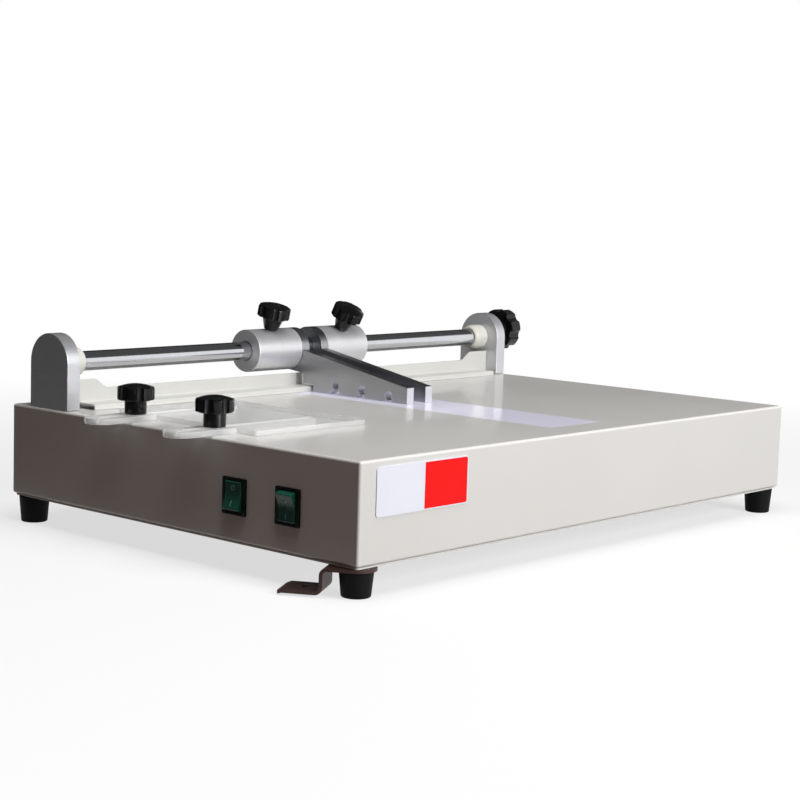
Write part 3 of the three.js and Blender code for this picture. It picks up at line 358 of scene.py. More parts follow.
@dataclass(frozen=True)
class Finish:
    """A finish of the machine."""

    name: str  # of the material
    slot: str  # the record's material slot that it stands for

    def build(self) -> bpy.types.Material:
        """Return the material, made at its first use.

        Returns:
            The material.
        """
        material = bpy.data.materials.get(self.name)
        if material is None:
            material, graph, shader = new_material(self.name)
            self.wire(graph, shader)
        return material

    def wire(self, graph: Graph, shader: Node) -> None:
        """Set and link the shader's inputs."""
        raise NotImplementedError

    @staticmethod
    def bump(graph: Graph, height: Socket, strength: float, depth: float) -> Socket:
        """Return the normal of a height, with the bump's strength and its depth in millimetres."""
        inputs = {"Height": height, "Strength": strength, "Distance": depth * MM}
        return graph.add("ShaderNodeBump", inputs).outputs[0]


@dataclass(frozen=True)
class PowderCoat(Finish):
    """Sprayed powder paint with a fine orange peel, chipped along the edges of a box, and lighter along them
    as rubbed paint and a painted edge highlight.
    """

    tone: Colour = colour(221, 220, 216)
    under: Colour = colour(120, 112, 104)  # where it is chipped
    gloss: float = 0.36  # mean roughness
    coat: float = 0.4  # weight of the clear top layer
    centre: Triple = (0, 0, 0)  # of the box, in metres
    half: Triple = (1, 1, 1)  # half sizes of the box, in metres
    reach: float = 0.0022  # how far the chips, rub and painted edge highlight come in from an edge, in metres

    def wire(self, graph: Graph, shader: Node) -> None:
        """Wire the paint, its chipped and rubbed edges with their painted highlight, and its peel.

        Args:
            graph: The material's graph.
            shader: Its shader.
        """
        grain = Effects.use(graph, "surface_grain", Grain_Size=1100.0, Cloud_Size=6.0).outputs
        fit = {"Centre": self.centre, "Half_Size": self.half, "Reach": self.reach}
        wear_and_sheen = Effects.use(graph, "box_edge_wear", **fit).outputs
        base = graph.mix(grain["Cloud"], scaled(self.tone, 0.95), self.tone)
        # Lighter along the edges: rubbed paint and a painted highlight
        rubbed_and_sheen = graph.mix(wear_and_sheen["Rub"], base, scaled(self.tone, 1.1))
        graph.feed(
            shader,
            Base_Color=graph.mix(wear_and_sheen["Chips"], rubbed_and_sheen, self.under),
            Roughness=graph.span(grain["Cloud"], 0, 1, self.gloss - 0.04, self.gloss + 0.05),
            Coat_Weight=self.coat,
            Coat_Roughness=0.08,
            Normal=self.bump(graph, grain["Grain"], 0.25, 0.05),
        )


@dataclass(frozen=True)
class CutMetal(Finish):
    """Turned, drawn or milled metal with fine tool lines."""

    tone: Colour = colour(200, 201, 204)
    rough: float = 0.3  # mean roughness
    stretch: Triple = (1600.0, 14.0, 14.0)  # how often the lines come along each axis, per metre
    marks: float = 0.12  # strength of the lines in the bump
    spread: float = 0.08  # how much the lines change the roughness
    metal: float = 1.0  # metallic share

    def wire(self, graph: Graph, shader: Node) -> None:
        """Wire the metal and its lines.

        Args:
            graph: The material's graph.
            shader: Its shader.
        """
        lines = Effects.use(graph, "tool_lines", Stretch=self.stretch).outputs
        cloud = Effects.use(graph, "surface_grain", Grain_Size=1400.0, Cloud_Size=24.0).outputs["Cloud"]
        darker = scaled(self.tone, 0.86)
        base = graph.mix(lines["Lines"], darker, self.tone)
        wave = graph.maths("ADD", lines["Broad Lines"], cloud)
        graph.feed(
            shader,
            Base_Color=graph.mix(graph.maths("MULTIPLY", cloud, 0.35), base, darker),
            Roughness=graph.span(wave, 0, 2, self.rough - self.spread, self.rough + self.spread),
            Metallic=self.metal,
            Normal=self.bump(graph, lines["Lines"], self.marks, 0.02),
        )


@dataclass(frozen=True)
class Plastic(Finish):
    """Moulded plastic, glossy or matt, with a slight texture and dust."""

    tone: Colour = colour(9, 9, 11)
    dust: Colour = colour(20, 20, 22)
    rough: float = 0.2  # mean roughness
    texture: float = 0.08  # strength of the moulded texture
    grain_size: float = 1500.0  # fineness of that texture
    through: float = 0.0  # transmission weight
    body: float = 0.0  # subsurface weight
    shine: float = 0.5  # specular level
    glow: float = 0.0  # emission strength
    coat: float = 0.0  # weight of a polished skin

    def wire(self, graph: Graph, shader: Node) -> None:
        """Wire the plastic, its dust and its texture.

        Args:
            graph: The material's graph.
            shader: Its shader.
        """
        grain = Effects.use(graph, "surface_grain", Grain_Size=self.grain_size, Cloud_Size=40.0).outputs
        dusty = graph.mix(graph.maths("MULTIPLY", grain["Cloud"], 0.35), self.tone, self.dust)
        graph.feed(
            shader,
            Base_Color=graph.mix(graph.maths("MULTIPLY", grain["Specks"], 0.5), dusty, self.dust),
            Roughness=graph.span(grain["Cloud"], 0, 1, self.rough * 0.8, self.rough * 1.3),
            Transmission_Weight=self.through,
            Subsurface_Weight=self.body,
            Subsurface_Radius=(0.004, 0.004, 0.004),
            Specular_IOR_Level=self.shine,
            Coat_Weight=self.coat,
            Emission_Color=self.tone,
            Emission_Strength=self.glow,
            Normal=self.bump(graph, grain["Grain"], self.texture, 0.05),
        )


@dataclass(frozen=True)
class ClearSheet(Finish):
    """Clear acrylic with a few fine scratches."""

    rough: float = 0.0  # roughness of its faces
    through: float = 1.0  # transmission weight

    def wire(self, graph: Graph, shader: Node) -> None:
        """Wire the sheet, its scratches and its haze.

        Args:
            graph: The material's graph.
            shader: Its shader.
        """
        lines = Effects.use(graph, "tool_lines", Stretch=(30.0, 900.0, 900.0)).outputs["Lines"]
        cloud = Effects.use(graph, "surface_grain", Grain_Size=1200.0, Cloud_Size=18.0).outputs["Cloud"]
        scratches = graph.span(lines, 0.9, 1.0, self.rough, self.rough + 0.2)
        graph.feed(
            shader,
            Base_Color=colour(252, 252, 252),
            Roughness=graph.maths("ADD", scratches, graph.span(cloud, 0.8, 1.0, 0.0, 0.03)),
            Transmission_Weight=self.through,
            IOR=1.49,
        )


@dataclass(frozen=True)
class Film(Finish):
    """Plain film with a slight grain."""

    tone: Colour = colour(238, 241, 252)
    cloudy: Colour = colour(225, 228, 238)  # where it is a little duller

    def wire(self, graph: Graph, shader: Node) -> None:
        """Wire the film and its grain.

        Args:
            graph: The material's graph.
            shader: Its shader.
        """
        grain = Effects.use(graph, "surface_grain", Grain_Size=2000.0, Cloud_Size=30.0).outputs
        graph.feed(
            shader,
            Base_Color=graph.mix(graph.maths("MULTIPLY", grain["Cloud"], 0.5), self.tone, self.cloudy),
            Roughness=graph.span(grain["Cloud"], 0, 1, 0.26, 0.36),
            Specular_IOR_Level=0.2,
            Normal=self.bump(graph, grain["Grain"], 0.06, 0.02),
        )


def box_paint(name: str, node: str, **values: Any) -> PowderCoat:
    """Return the cream paint fitted to the edges of one node's box.

    Args:
        name: Material name.
        node: Node whose box it follows.
        **values: The paint's other values.

    Returns:
        The finish.
    """
    low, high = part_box(node)
    centre = tuple((a + b) / 2 for a, b in zip(low, high))
    half = tuple((b - a) / 2 for a, b in zip(low, high))
    return PowderCoat(name, "cream_paint", centre=centre, half=half, **values)


class Finishes:
    """All finishes of the machine."""

    CASE = box_paint("cream_paint_case", "case_shell")
    FENCE = box_paint("cream_paint_fence", "fence", tone=colour(206, 206, 202), gloss=0.42, coat=0.1)
    BOTTOM = box_paint("cream_paint_plate", "bottom_plate", gloss=0.5, coat=0.0)
    BRONZE = PowderCoat(
        "bronze_paint", "bronze_paint", colour(24, 12, 11), under=colour(90, 70, 58), gloss=0.26, coat=0.1
    )
    COLLAR = CutMetal("satin_collar", "satin_aluminium", colour(226, 226, 229), rough=0.42, metal=0.7)
    BRACKET = CutMetal(
        "satin_bracket", "satin_aluminium", colour(214, 215, 219), rough=0.42,
        stretch=(240.0, 240.0, 1800.0), marks=0.06, spread=0.05, metal=0.75,
    )
    GAUGE = CutMetal(
        "milled_plate", "plate_steel", colour(176, 177, 180), rough=0.34,
        stretch=(900.0, 20.0, 900.0), spread=0.06,
    )
    # Lighter, less metallic copy of the plate's finish for its nose, foot and keyhole walls: milled ends, and
    # a painted highlight where light falls on them
    GAUGE_ENDS = CutMetal(
        "milled_ends", "plate_steel", colour(214, 214, 218),
        stretch=(20.0, 900.0, 900.0), marks=0.08, spread=0.05, metal=0.35,
    )
    SHAFT = CutMetal(
        "ground_shaft", "chrome", colour(224, 225, 230), rough=0.13,
        stretch=(2600.0, 8.0, 8.0), marks=0.0, spread=0.01,
    )
    ZINC = CutMetal("zinc_plate", "zinc", colour(178, 188, 196), stretch=(400.0, 400.0, 2200.0), marks=0.1)
    FOLDED = CutMetal("folded_tray", "satin_aluminium", colour(190, 191, 194), rough=0.45)
    KNOB = Plastic("black_plastic_knob", "black_plastic", rough=0.3, shine=0.15, coat=0.35)
    HOUSING = Plastic(
        "black_plastic_housing", "black_plastic", colour(7, 8, 8), colour(18, 20, 20),
        rough=0.34, texture=0.2, grain_size=2200.0, shine=0.2,
    )
    RUBBER = Plastic(
        "black_rubber_foot", "black_rubber", colour(7, 8, 9), colour(18, 19, 20),
        rough=0.6, texture=0.5, grain_size=1300.0, shine=0.12,
    )
    NYLON = Plastic(
        "white_nylon", "nylon", colour(214, 213, 206), colour(200, 198, 188),
        rough=0.38, texture=0.1, grain_size=1200.0, body=0.25,
    )
    # Its glow is painted light that brightens the green rocker
    LENS = Plastic(
        "green_lens", "green_lens", colour(8, 150, 128), colour(12, 126, 108),
        rough=0.1, texture=0.02, grain_size=1200.0, through=0.1, glow=0.08,
    )
    MARK = Plastic(
        "switch_mark", "green_lens", colour(120, 190, 176), colour(96, 160, 148),
        rough=0.3, texture=0.05, grain_size=1200.0,
    )
    OPAL = Plastic(
        "opal_window", "opal_acrylic", colour(221, 219, 236), colour(210, 208, 228),
        rough=0.1, texture=0.02, grain_size=900.0, glow=0.22,
    )
    BOARD = Plastic(
        "lamp_board", "green_board", colour(22, 84, 56), colour(30, 96, 66),
        rough=0.4, texture=0.1, grain_size=800.0,
    )
    CLEAR = ClearSheet("clear_acrylic", "clear_acrylic")
    CLEAR_EDGE = ClearSheet("clear_acrylic_edge", "clear_acrylic", rough=0.12, through=0.72)
    WHITE_FILM = Film("white_film", "white_label")
    RED_FILM = Film("red_film", "red_label", colour(252, 8, 6), colour(240, 8, 8))


class Piece:
    """A mesh object with the steps that model it as by hand, and those that dress it."""

    MODELS: dict[Any, bpy.types.Mesh] = {}  # of what repeats

    def __init__(self, obj: bpy.types.Object, name: str) -> None:
        """Keep the object, and name it and its mesh."""
        self.obj = obj
        obj.name = obj.data.name = name

    @classmethod
    def repeat(cls, name: str, key: Any, model: Callable[[], "Piece"]) -> "Piece":
        """Model what repeats at its first use, and then copy it, each copy with its own mesh.

        Args:
            name: Object name.
            key: Tells the model from others.
            model: Models it at the origin.

        Returns:
            The piece.
        """
        if key not in cls.MODELS:
            piece = model()
            cls.MODELS[key] = piece.obj.data.copy()
            return cls(piece.obj, name)
        obj = bpy.data.objects.new(name, cls.MODELS[key].copy())
        bpy.context.scene.collection.objects.link(obj)
        return cls(obj, name)

    @classmethod
    def forget(cls) -> None:
        """Remove the models, which no object uses."""
        for mesh in cls.MODELS.values():
            bpy.data.meshes.remove(mesh)
        cls.MODELS.clear()

    @staticmethod
    def edit() -> None:
        """Open the active object's mesh with all of it selected."""
        bpy.ops.object.mode_set(mode="EDIT")
        bpy.ops.mesh.select_mode(type="VERT")
        bpy.ops.mesh.select_all(action="SELECT")

    @classmethod
    def close(cls, name: str) -> "Piece":
        """Merge doubles, turn faces outwards, and leave edit mode.

        Args:
            name: Name for the finished object.

        Returns:
            The piece.
        """
        bpy.ops.mesh.select_all(action="SELECT")
        bpy.ops.mesh.remove_doubles(threshold=0.002 * MM)
        bpy.ops.mesh.normals_make_consistent(inside=False)
        bpy.ops.object.mode_set(mode="OBJECT")
        return cls(bpy.context.object, name)

    @classmethod
    def turned(cls, name: str, profile: Outline, steps: int = 64) -> "Piece":
        """Build a turned piece about Z, ring by ring.

        Args:
            name: Object name.
            profile: Radius and height pairs in millimetres. It starts and ends on the axis, or
                closes on itself for a tube.
            steps: Number of sides.

        Returns:
            The piece, standing at the origin.
        """
        tube = profile[0] == profile[-1]
        rings = profile if tube else profile[1:-1]
        bpy.ops.object.select_all(action="DESELECT")
        radius, height = rings[0]
        fill = "NOTHING" if tube else "NGON"
        bpy.ops.mesh.primitive_circle_add(
            vertices=steps, radius=radius * MM, fill_type=fill, location=(0, 0, height * MM)
        )
        bpy.ops.object.transform_apply(location=True, rotation=True, scale=True)
        cls.edit()
        for next_radius, next_height in rings[1:]:
            rise = (0, 0, (next_height - height) * MM)
            bpy.ops.mesh.extrude_region_move(TRANSFORM_OT_translate={"value": rise})
            if next_radius != radius:
                share = next_radius / radius
                bpy.ops.transform.resize(value=(share, share, 1), center_override=(0, 0, 0))
            radius, height = next_radius, next_height
        return cls.close(name)

    @classmethod
    def plate(cls, name: str, outline: Outline, thickness: float) -> "Piece":
        """Draw an outline point by point, fill it and push it up.

        Args:
            name: Object name.
            outline: Points in millimetres.
            thickness: Depth in millimetres, from 0 up.

        Returns:
            The piece at the origin, lying in its own x and y.
        """
        bpy.ops.object.select_all(action="DESELECT")
        bpy.ops.mesh.primitive_plane_add(size=MM)
        cls.edit()
        bpy.ops.mesh.merge(type="CENTER")
        x, y = outline[0]
        bpy.ops.transform.translate(value=(x * MM, y * MM, 0))
        for next_x, next_y in outline[1:] + outline[:1]:
            step = ((next_x - x) * MM, (next_y - y) * MM, 0)
            bpy.ops.mesh.extrude_vertices_move(TRANSFORM_OT_translate={"value": step})
            x, y = next_x, next_y
        bpy.ops.mesh.select_all(action="SELECT")
        bpy.ops.mesh.remove_doubles(threshold=0.002 * MM)
        bpy.ops.mesh.select_all(action="SELECT")
        bpy.ops.mesh.edge_face_add()
        bpy.ops.mesh.extrude_region_move(TRANSFORM_OT_translate={"value": (0, 0, thickness * MM)})
        return cls.close(name)

    @classmethod
    def block(cls, name: str, low: Sequence[float], high: Sequence[float]) -> "Piece":
        """Add a cube between two corners, in millimetres, as a start or a cutter.

        Args:
            name: Object name.
            low: Lowest corner.
            high: Highest corner.

        Returns:
            The block.
        """
        bpy.ops.object.select_all(action="DESELECT")
        middle = [(a + b) / 2 * MM for a, b in zip(low, high)]
        size = [(b - a) * MM for a, b in zip(low, high)]
        bpy.ops.mesh.primitive_cube_add(size=1, location=middle, scale=size)
        bpy.ops.object.transform_apply(location=True, rotation=True, scale=True)
        return cls(bpy.context.object, name)

    @classmethod
    def around(cls, name: str, centre: Sequence[float], half: Sequence[float]) -> "Piece":
        """Add a block about a middle, from its half sizes."""
        return cls.block(name, [a - b for a, b in zip(centre, half)], [a + b for a, b in zip(centre, half)])

    @classmethod
    def rod(cls, radius: float, length: float, steps: int = 32) -> "Piece":
        """Add a plain bar about Z from 0 up, as a cutter."""
        return cls.turned("rod", [(0, 0), (radius, 0), (radius, length), (0, length)], steps)

    def take(self) -> None:
        """Select the object alone and make it the active one."""
        bpy.ops.object.select_all(action="DESELECT")
        self.obj.select_set(True)
        bpy.context.view_layer.objects.active = self.obj

    def place(self, matrix: Matrix) -> "Piece":
        """Move the piece and put its place into its mesh.

        Args:
            matrix: Where it goes, in metres.

        Returns:
            The piece, its object unturned at the origin.
        """
        self.take()
        self.obj.matrix_world = matrix @ self.obj.matrix_world
        bpy.ops.object.transform_apply(location=True, rotation=True, scale=True)
        return self

    def modify(self, kind: str, **settings: Any) -> "Piece":
        """Add a modifier and apply it.

        Args:
            kind: Modifier type.
            **settings: Its settings.

        Returns:
            The piece.
        """
        self.take()
        bpy.ops.object.modifier_add(type=kind)
        modifier = self.obj.modifiers[-1]
        for key, value in settings.items():
            setattr(modifier, key, value)
        bpy.ops.object.modifier_apply(modifier=modifier.name)
        return self

    def combine(self, other: "Piece", operation: str) -> "Piece":
        """Join, cut or meet the piece with another, which is used up.

        Args:
            other: The other piece.
            operation: UNION, DIFFERENCE or INTERSECT.

        Returns:
            The piece.
        """
        self.modify("BOOLEAN", operation=operation, solver="EXACT", object=other.obj)
        bpy.data.objects.remove(other.obj, do_unlink=True)
        return self

    def cut(self, other: "Piece") -> "Piece":
        """Cut another piece out of this one."""
        return self.combine(other, "DIFFERENCE")

    def weld(self, other: "Piece") -> "Piece":
        """Join another piece to this one."""
        return self.combine(other, "UNION")

    def cross(self, half: Triple, z: float, turn: float = 0) -> "Piece":
        """Cut a cross recess into a screw's head.

        Args:
            half: Half sizes of each slot.
            z: Height of the slots' middle.
            turn: Turn of the cross in degrees.

        Returns:
            The piece.
        """
        for quarter in (0, 90):
            self.cut(Piece.around("slot", (0, 0, z), half).place(spin("Z", quarter + turn)))
        return self

    def soften(self, width: float = 0, segments: int = 2, angle: float = 32, smooth: float = 40) -> "Piece":
        """Round the piece's edges and shade it smooth.

        Args:
            width: Edge radius in millimetres, or 0 to shade only.
            segments: Faces across each edge.
            angle: Least angle of an edge that is rounded, in degrees.
            smooth: Most angle that shades smooth, in degrees.

        Returns:
            The piece.
        """
        self.take()
        if width > 0:
            limit = math.radians(angle)
            self.modify("BEVEL", width=width * MM, segments=segments, limit_method="ANGLE", angle_limit=limit)
        bpy.ops.object.shade_smooth_by_angle(angle=math.radians(smooth))
        return self.modify("WEIGHTED_NORMAL", keep_sharp=True, weight=80)

    def finish(self, finish: Finish, body: str, *nodes: str) -> "Piece":
        """Dress the piece, say what it rides on and which nodes it stands for.

        Args:
            finish: Its finish.
            body: Body that it moves with.
            *nodes: Nodes that it replaces.

        Returns:
            The piece.
        """
        self.obj.data.materials.clear()
        self.obj.data.materials.append(finish.build())
        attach(self.obj, body)
        if nodes:
            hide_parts(*nodes)
        LOG.info("%s rides on %s", self.obj.name, body)
        return self

    def reface(self, finish: Finish, chosen: Callable[[Vector, Vector], bool]) -> None:
        """Give some faces of the dressed piece a second finish.

        Args:
            finish: The second finish.
            chosen: Tells from a face's normal and centre whether it gets it.
        """
        self.obj.data.materials.append(finish.build())
        for face in self.obj.data.polygons:
            if chosen(face.normal, face.center):
                face.material_index = 1


class Assembly:
    """A sub-assembly of the machine. Its fields are sizes in millimetres."""

    def build(self) -> None:
        """Build and dress all its pieces."""
        raise NotImplementedError

    @staticmethod
    def dress(node: str, finish: Finish) -> None:
        """Give a node that stays its finish.

        Args:
            node: The node.
            finish: Its finish.
        """
        material = finish.build()
        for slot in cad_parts[node].material_slots:
            slot.material = material
        LOG.info("%s keeps its solid", node)


@dataclass
class Case(Assembly):
    """Folded case, bottom plate, lit window and the pieces inside."""

    sheet: float = 1.5  # thickness of the sheet
    bend: float = 2.5  # outer radius of the folds
    lip: float = 30  # width of the lip underneath
    rebate: float = 6  # width of the window's hidden rim
    switch_width: float = 24.6  # of a switch's body
    switch_height: float = 28.8
    inlet_width: float = 48  # of the inlet's body
    inlet_height: float = 27
    stud: float = 4  # radius of a clamp stud

    def build(self) -> None:
        """Fold the case, cut its openings and dress what it holds."""
        shell = self.fold()
        for cutter in self.openings():
            shell.cut(cutter)
        shell.soften(smooth=35).finish(Finishes.CASE, "case", "case_shell")
        LOG.info("case is %.0f x %.0f x %.0f mm", *(CASE_HIGH - CASE_LOW))
        for node, finish in (
            ("bottom_plate", Finishes.BOTTOM),
            ("light_tray", Finishes.FOLDED),
            ("power_supply", Finishes.FOLDED),
            ("lamp_board", Finishes.BOARD),
            ("light_window", Finishes.OPAL),
        ):
            self.dress(node, finish)

    def fold(self) -> Piece:
        """Fold the sheet: a box without a bottom, then a lip, round folds and a thickness.

        Returns:
            The sheet.
        """
        shell = Piece.block("case", CASE_LOW, CASE_HIGH)
        shell.take()
        bpy.ops.object.mode_set(mode="EDIT")
        bpy.ops.mesh.select_mode(type="FACE")
        bpy.ops.mesh.select_all(action="DESELECT")
        bpy.ops.object.mode_set(mode="OBJECT")
        for face in shell.obj.data.polygons:
            face.select = face.normal.z < -0.5
        bpy.ops.object.mode_set(mode="EDIT")
        bpy.ops.mesh.inset(thickness=self.lip * MM)
        bpy.ops.mesh.delete(type="FACE")
        bpy.ops.object.mode_set(mode="OBJECT")
        shell.modify("BEVEL", width=self.bend * MM, segments=5, limit_method="ANGLE")
        return shell.modify("SOLIDIFY", thickness=self.sheet * MM, offset=-1, use_even_offset=True)

    def openings(self) -> list[Piece]:
        """Make the cutters for the window, switches, clamp studs and inlet.

        Returns:
            The cutters.
        """
        low, high, _ = box("light_window")
        top = CASE_HIGH.z
        cutters = [Piece.block(
            "window",
            (low.x + self.rebate, low.y + self.rebate, top - CUT),
            (high.x - self.rebate, high.y - self.rebate, top + CUT),
        )]
        half = (CUT, self.switch_width / 2 + GAP, self.switch_height / 2 + GAP)
        for name in NAMES:
            switch, stud = box(f"switch_housing_{name}")[2], box(f"guide_stud_{name}")[2]
            cutters.append(Piece.around("switch", (CASE_LOW.x, switch.y, switch.z), half))
            cutters.append(Piece.rod(self.stud + GAP, 2 * CUT).place(shift(stud.x, stud.y, top - CUT)))
        inlet = box("power_inlet")[2]
        half = (self.inlet_width / 2 + GAP, CUT, self.inlet_height / 2 + GAP)
        return cutters + [Piece.around("inlet", (inlet.x, CASE_HIGH.y, inlet.z), half)]


@dataclass
class Switches(Assembly):
    """The two rocker switches in the left wall."""

    width: float = 28.2  # of the bezel
    height: float = 32  # of the bezel
    bezel: float = 2  # thickness of the bezel
    corner: float = 1.4  # radius of the bezel's corners
    step: float = 0.6  # depth of the rim's step
    pocket: float = 8  # depth of the rocker's pocket
    body_width: float = Case.switch_width
    body_height: float = Case.switch_height
    depth: float = 22  # of the body
    rocker: float = 19  # width of the rocker
    radius: float = 13.2  # of the rocker's round ends about its pivot
    pivot: float = 3  # depth of the pivot behind the bezel's face
    tip: float = 3.2  # how far the rocker's tips stand out when level
    dip: float = 1.2  # how far its middle stands out
    back: float = 2  # depth of the rocker behind the pivot
    tilt: float = 9  # to each side, in degrees
    mark: float = 0.3  # thickness of a mark
    mark_reach: float = 0.52  # from the pivot to a mark, as a share of the radius
    sunk: float = 0.05  # how far a mark goes into the rocker
    ring: tuple[float, float] = (1.7, 2.3)  # radii of the off mark
    bar: tuple[float, float] = (0.8, 5.4)  # sizes of the on mark

    def build(self) -> None:
        """Build both switches."""
        for name, way in zip(NAMES, (1, -1)):
            self.build_housing(name)
            self.build_rocker(name, way * self.tilt)

    def build_housing(self, name: str) -> None:
        """Build a housing.

        Args:
            name: Name of the switch.
        """
        node = f"switch_housing_{name}"
        low, _, centre = box(node)
        housing = Piece.repeat(f"switch_{name}_housing", "housing", self.model_housing)
        housing.place(shift(low.x, centre.y, centre.z)).soften(0.35, 3)
        housing.finish(Finishes.HOUSING, "case", node)

    def model_housing(self) -> Piece:
        """Model a housing: bezel with a stepped rim, body and a pocket for the rocker.

        Returns:
            The housing, facing left with its bezel's face at 0.
        """
        lay = Lay.ALONG_X.matrix()
        housing = Piece.plate("housing", rounded_rectangle(self.width, self.height, self.corner), self.bezel)
        wide, high = self.body_width / 2, self.body_height / 2
        housing.place(lay).weld(Piece.block("body", (self.bezel / 2, -wide, -high), (self.depth, wide, high)))
        rim = rounded_rectangle(self.rocker + 3, self.radius * 2 + 3, 1.2)
        pocket = rounded_rectangle(self.rocker + 0.6, self.radius * 2 + 1, 0.6)
        for outline, depth in ((rim, self.step), (pocket, self.pocket)):
            housing.cut(Piece.plate("recess", outline, depth + CUT).place(lay @ shift(0, 0, -CUT)))
        return housing

    def build_rocker(self, name: str, tilt: float) -> None:
        """Build a rocker and its two marks.

        Args:
            name: Name of the switch, and of the rocker's body.
            tilt: Its tilt in degrees.
        """
        body = f"rocker_{name}"
        tip = math.degrees(math.asin((self.pivot + self.tip) / self.radius))
        back = math.degrees(math.asin(self.back / self.radius))
        outline = arc((0, 0), self.radius, 90 - tip, 90 + back, 10)
        outline += arc((0, 0), self.radius, 270 - back, 270 + tip, 10)
        (out, end), level = outline[-1], self.pivot + self.dip
        for step in range(1, 12):
            share = step / 12
            outline.append((out - (out - level) * math.sin(math.pi * share), end * (1 - 2 * share)))
        low, _, housing = box(f"switch_housing_{name}")
        stand = shift(low.x + self.pivot, box(body)[2].y, housing.z) @ Lay.ALONG_Y.matrix() @ spin("Z", tilt)
        rocker = Piece.repeat(f"{body}_lens", "rocker", lambda: Piece.plate("rocker", outline, self.rocker))
        rocker.soften(0.5, 3, angle=38).place(stand @ shift(0, 0, -self.rocker / 2))
        rocker.finish(Finishes.LENS, body, body)
        reach = self.mark_reach * self.radius
        phase = math.pi / 2 * (1 - reach / abs(end))
        rise = level + (out - level) * (1 - math.sin(phase))
        fall = (out - level) * math.cos(phase) * math.pi / 2
        lean = math.degrees(math.atan(fall / abs(end)))
        inner, outer = self.ring
        ring = [(inner, 0), (outer, 0), (outer, self.mark), (inner, self.mark), (inner, 0)]
        bar = rounded_rectangle(*self.bar, 0.38, 4)
        off = Piece.repeat(f"{body}_off_mark", "ring", lambda: Piece.turned("ring", ring, 40))
        on = Piece.repeat(f"{body}_on_mark", "bar", lambda: Piece.plate("bar", bar, self.mark))
        for mark, way in ((off, 1), (on, -1)):
            lay = shift(rise - self.sunk, way * reach, 0) @ spin("Z", -way * lean) @ spin("Y", 90)
            mark.place(stand @ lay).soften().finish(Finishes.MARK, body)


@dataclass
class Labels(Assembly):
    """The blank two-part label on the front wall."""

    corner: float = 3  # radius of its outer corners
    rim: float = 1.1  # of the white rim round the red part
    film: float = 0.14  # thickness of the red film
    step: float = 0.08  # how far the red film stands out of its rim
    edge: float = 0.08  # radius of the white film's edges

    def red_outline(self, width: float, height: float, rim: float) -> Outline:
        """Return the outline of the right part, round at its right corners.

        Args:
            width: Width of the part.
            height: Height of the part.
            rim: Width of a rim left free around it.

        Returns:
            The outline.
        """
        x, low, high, radius = width - self.corner, self.corner, height - self.corner, self.corner - rim
        outline = [(0, rim), (x, rim)] + arc((x, low), radius, 270, 360, 8)[1:]
        return outline + arc((x, high), radius, 0, 90, 8) + [(0, height - rim)]

    def build(self) -> None:
        """Build both parts, with the white one running on as a thin rim round the red one."""
        low, high, _ = box("label_plain")
        red_low, red_high, _ = box("label_red")
        height, width, red_width = high.z - low.z, high.x - low.x, red_high.x - red_low.x
        r = self.corner
        plain = [(r, 0), (width, 0), (width, height), (r, height)]
        plain += arc((r, height - r), r, 90, 180, 8)[1:] + arc((r, r), r, 180, 270, 8)[:-1]
        rim, field = (self.red_outline(red_width, height, rim) for rim in (0, self.rim))
        thin, front = red_high.y - red_low.y - self.step, red_low.y + self.film
        white, red = Finishes.WHITE_FILM, Finishes.RED_FILM
        for name, outline, depth, x, y, finish, nodes in (
            ("label_white_part", plain, high.y - low.y, low.x, high.y, white, ["label_plain"]),
            ("label_red_rim", rim, thin, red_low.x, high.y, white, []),
            ("label_red_part", field, self.film, red_low.x, front, red, ["label_red"]),
        ):
            part = Piece.plate(name, outline, depth).place(shift(x, y, low.z) @ spin("X", 90))
            part.soften(self.edge if finish is white else 0).finish(finish, "case", *nodes)


